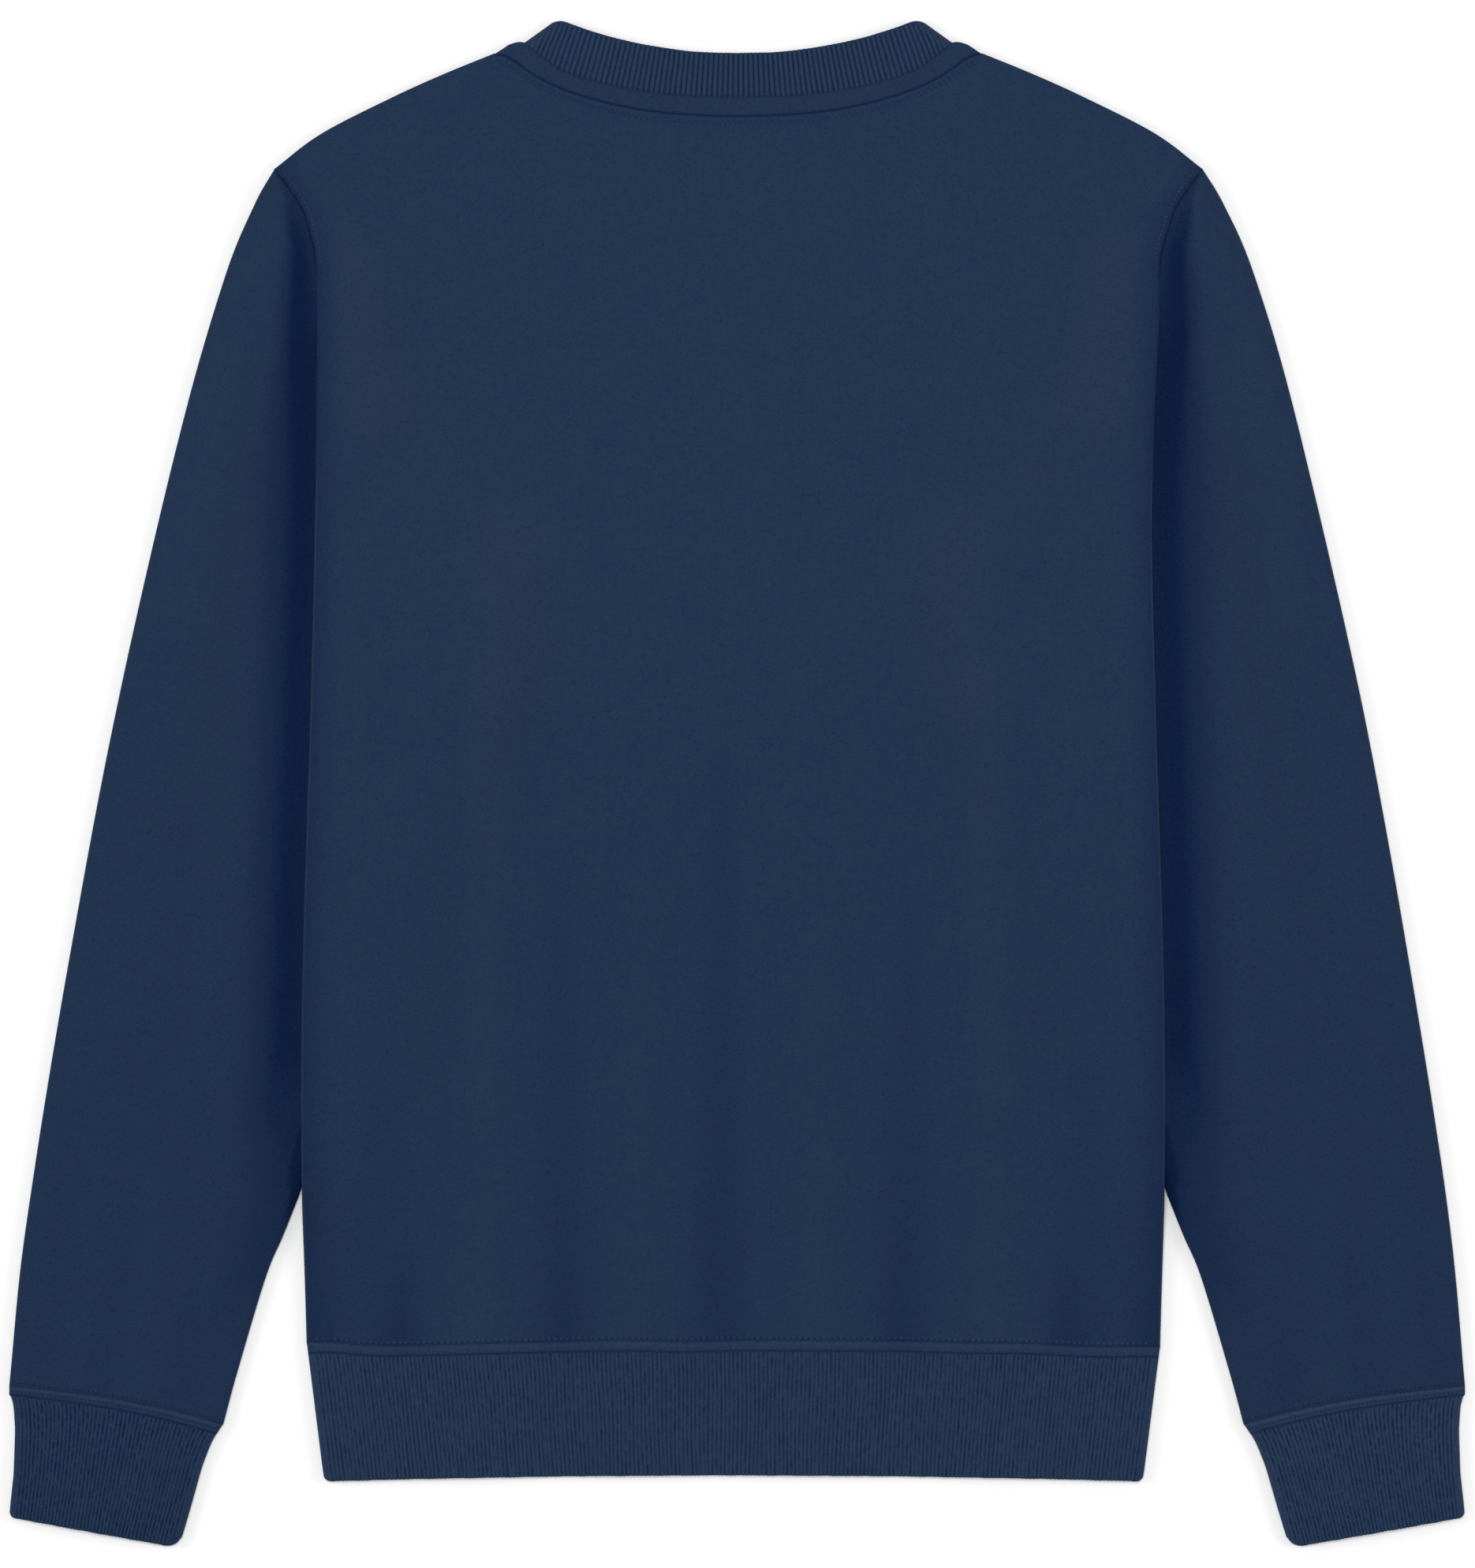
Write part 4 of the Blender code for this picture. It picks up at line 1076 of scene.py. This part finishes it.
# Stitches: one is modelled and copied along the seams. Needle holes are small dark ones, painted shade, and
# so are the darker dots: faint, prick, dim and pin.
stitches = dict(
    sphere=(6, 5), endDive=0.9,
    # length, width and height, and tone
    thread=((0.0018, 0.0012, 0.0007), 0.598), hole=((0.0014, 0.0013, 0.0004), 0.435),
    dot=((0.002, 0.0017, 0.0006), 0.562), dim=((0.0017, 0.0014, 0.0005), 0.506),
    bead=((0.0014, 0.0013, 0.0005), 0.552), faint=((0.0013, 0.0012, 0.0004), 0.47),
    pin=((0.0011, 0.001, 0.0004), 0.53), prick=((0.0013, 0.0011, 0.0004), 0.488),
    sunk=0.00005, castFrom=0.05, ends=0.004, lookAhead=0.0005,
    uneven=0.00012, unevenPitch=0.013, unevenShare=0.1, unevenTone=0.018,
    # kind, distance from the seam, pitch, and how far along the first one starts
    hem=[("thread", 0.0019, 0.0029, 0.0), ("hole", 0.0015, 0.0029, 0.00145)],
    strip=[("pin", 0.0033, 0.0029, 0.001)],
    sleeveEnd=[("bead", 0.0024, 0.0024, 0.0), ("faint", 0.0021, 0.0024, 0.0012)],
    cuffRoll=[("prick", 0.0027, 0.0021, 0.0005), ("pin", 0.004, 0.0021, 0.0015)],
    neck=[("prick", 0.0029, 0.0027, 0.0), ("prick", 0.0042, 0.0027, 0.0013)],
    armhole=[("dot", 0.0028, 0.0023, 0.0), ("dim", 0.003, 0.0023, 0.00115)],
    armholeEnd=0.248, hemHalf=0.2065, hemPoints=240, cuffPoints=60,
)


def oneStitch():
    # a grain of thread, 1 long, wide and high, along X
    bpy.ops.object.select_all(action="DESELECT")
    segments, rings = stitches["sphere"]
    bpy.ops.mesh.primitive_uv_sphere_add(segments=segments, ring_count=rings, radius=0.5)
    grain = bpy.context.object
    points = np.array([(-vertex.co.z, vertex.co.y, vertex.co.x) for vertex in grain.data.vertices])
    points[:, 2] -= stitches["endDive"] * points[:, 0] ** 2     # its ends dive into the cloth
    # the faces in one order in every run, each from its lowest corner
    faces = [list(face.vertices) for face in grain.data.polygons]
    firsts = [face.index(min(face)) for face in faces]
    bpy.data.objects.remove(grain)
    return points, sorted(face[first:] + face[:first] for face, first in zip(faces, firsts))


def surfaceOf(piece):
    return BVHTree.FromObject(piece, bpy.context.evaluated_depsgraph_get())


def landing(surface, x, y, above):
    # where a needle that comes straight down, or up, meets the cloth, and how the cloth faces there
    way = -1.0 if above else 1.0
    place, normal, _, _ = surface.ray_cast(Vector((x, y, -way * stitches["castFrom"])), Vector((0, 0, way)))
    if place is None:
        return None, None
    up = np.array(normal)
    return np.array(place), up * (1 if (up[2] > 0) == above else -1)


def sew(name, rows):
    # rows: surface, whether from above, the seam's line, the kinds of stitch and which side of it
    grain, faces = stitchShape
    points, allFaces, tone = [], [], []
    for number, (surface, above, seam, kinds, side) in enumerate(rows):
        for kind, distance, pitch, start in kinds:
            size, lightness = stitches[kind]
            line = movedLeft(seam, side * distance)
            line = np.column_stack([swayed(line[:, 0], line[:, 1]), line[:, 1]])
            reach = travelled(line)
            spots = np.arange(stitches["ends"] + start, reach[-1] - stitches["ends"], pitch)
            waver = unevenness(spots, stitches["unevenPitch"], number)
            spots = spots + stitches["unevenShare"] * pitch * waver
            heads = pointsOn(line, spots + stitches["lookAhead"], reach)
            for (x, y), head, off in zip(pointsOn(line, spots, reach), heads, waver):
                place, up = landing(surface, x, y + stitches["uneven"] * off, above)
                if place is None:
                    continue
                along = np.array([head[0] - x, head[1] - y, 0.0])
                along -= up * (along @ up)
                along /= np.linalg.norm(along)
                turned = (grain * size) @ np.array([along, np.cross(up, along), up])
                allFaces += [[corner + len(points) * len(grain) for corner in face] for face in faces]
                points.append(turned + place - up * stitches["sunk"])
                tone.append(np.full(len(grain), lightness + stitches["unevenTone"] * off))
    return newPiece(name, np.vstack(points).tolist(), allFaces, thread, {"tone": np.concatenate(tone)})


stitchShape = oneStitch()
hemX = np.linspace(-stitches["hemHalf"], stitches["hemHalf"], stitches["hemPoints"])
hemSeam = np.column_stack([hemX, hemLine(hemX)])
armSeam = sideLine[sideLine[:, 1] > stitches["armholeEnd"]]
cuffLine = cuffSeam(np.linspace(0, 1, stitches["cuffPoints"]))
onBack, onFront, onHem = (surfaceOf(piece) for piece in (back, front, hemRib))
hemRows, neckRows, armRows = [], [], []
for above, onPanel in ((True, onBack), (False, onFront)):
    hemRows.append((onPanel, above, hemSeam, stitches["hem"], 1))
    hemRows.append((onHem, above, hemSeam, stitches["strip"], -1))
    neckRows.append((onPanel, above, neckLine("seam", not above), stitches["neck"], -1))
    for line in (armSeam, armSeam[::-1] * (-1, 1)):
        armRows.append((onPanel, above, line, stitches["armhole"], -1))
sewing = [sew("hemStitches", hemRows), sew("neckStitches", neckRows), sew("armholeStitches", armRows)]
for name, side, arm, band in zip(("cuffStitchesLeft", "cuffStitchesRight"), (-1, 1), sleeves, cuffs):
    onSleeve, onCuff = surfaceOf(arm), surfaceOf(band)
    cuffRows = []
    for above in (True, False):
        cuffRows.append((onSleeve, above, cuffLine * (side, 1), stitches["sleeveEnd"], -side))
        cuffRows.append((onCuff, above, cuffLine * (side, 1), stitches["cuffRoll"], side))
    sewing.append(sew(name, cuffRows))
print("seams sewn")


# floor, light and camera
studio = dict(
    floor=7.0, floorHeight=-0.0003, floorGrey=0.93, sky=0.333,
    # where each lamp is, its size and its power
    lamps=dict(
        overhead=((-0.3, 0.5, 5.6), 2.6, 196),
        left=((-3.4, 0.3, 1.9), 1.6, 33), right=((3.4, 0.2, 1.9), 1.6, 33),
    ),
    cameraPlace=(0.0002, -0.0002, 4.2), frameHeight=0.7626, plane=0.0022, sensor=36, clipEnd=20,
)
bpy.ops.mesh.primitive_plane_add(size=studio["floor"], location=(0, 0, studio["floorHeight"]))
floor = bpy.context.object
floor.name = "studioFloor"
paper = Shader("paper", roughness=0.9, sheen=0.0, specular=0.1)
paper.feed(paper.surface["Base Color"], (*[studio["floorGrey"]] * 3, 1.0))
floor.data.materials.append(paper.material)

world = bpy.data.worlds.new("studio")
bpy.context.scene.world = world
world.use_nodes = True
sky = world.node_tree.nodes["Background"].inputs
sky["Color"].default_value = (1.0, 1.0, 1.0, 1.0)
sky["Strength"].default_value = studio["sky"]

for name, (place, size, power) in studio["lamps"].items():
    light = bpy.data.lights.new(name, "AREA")
    light.shape, light.size, light.energy = "DISK", size, power
    lamp = bpy.data.objects.new(name, light)
    lamp.location = place
    lamp.rotation_euler = (-Vector(place)).to_track_quat("-Z", "Y").to_euler()
    lamp.visible_camera = False
    bpy.context.scene.collection.objects.link(lamp)

lens = bpy.data.cameras.new("camera")
lens.sensor_width = studio["sensor"]
lens.lens = studio["sensor"] * (studio["cameraPlace"][2] - studio["plane"]) / studio["frameHeight"]
lens.clip_end = studio["clipEnd"]
camera = bpy.data.objects.new("camera", lens)
camera.location = studio["cameraPlace"]
bpy.context.scene.collection.objects.link(camera)
bpy.context.scene.camera = camera
bpy.context.scene.view_settings.view_transform = "Standard"

stands = [
    (back, "back", "fleece"), (front, "front", "fleece"),
    (sleeves[0], "sleeve_left", "fleece"), (sleeves[1], "sleeve_right", "fleece"),
    (neckBand, "neck_band", "neck_band"), (neckRib, "neck_rib", "rib_knit"),
    (hemRib, "hem_rib", "rib_knit"),
    (cuffs[0], "cuff_left", "rib_knit"), (cuffs[1], "cuff_right", "rib_knit"),
]
for piece, node, slot in stands:
    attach(piece, "root")
    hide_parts(node)
for piece in sewing:
    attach(piece, "root")

print(len(stands) + len(sewing), "pieces laid out")
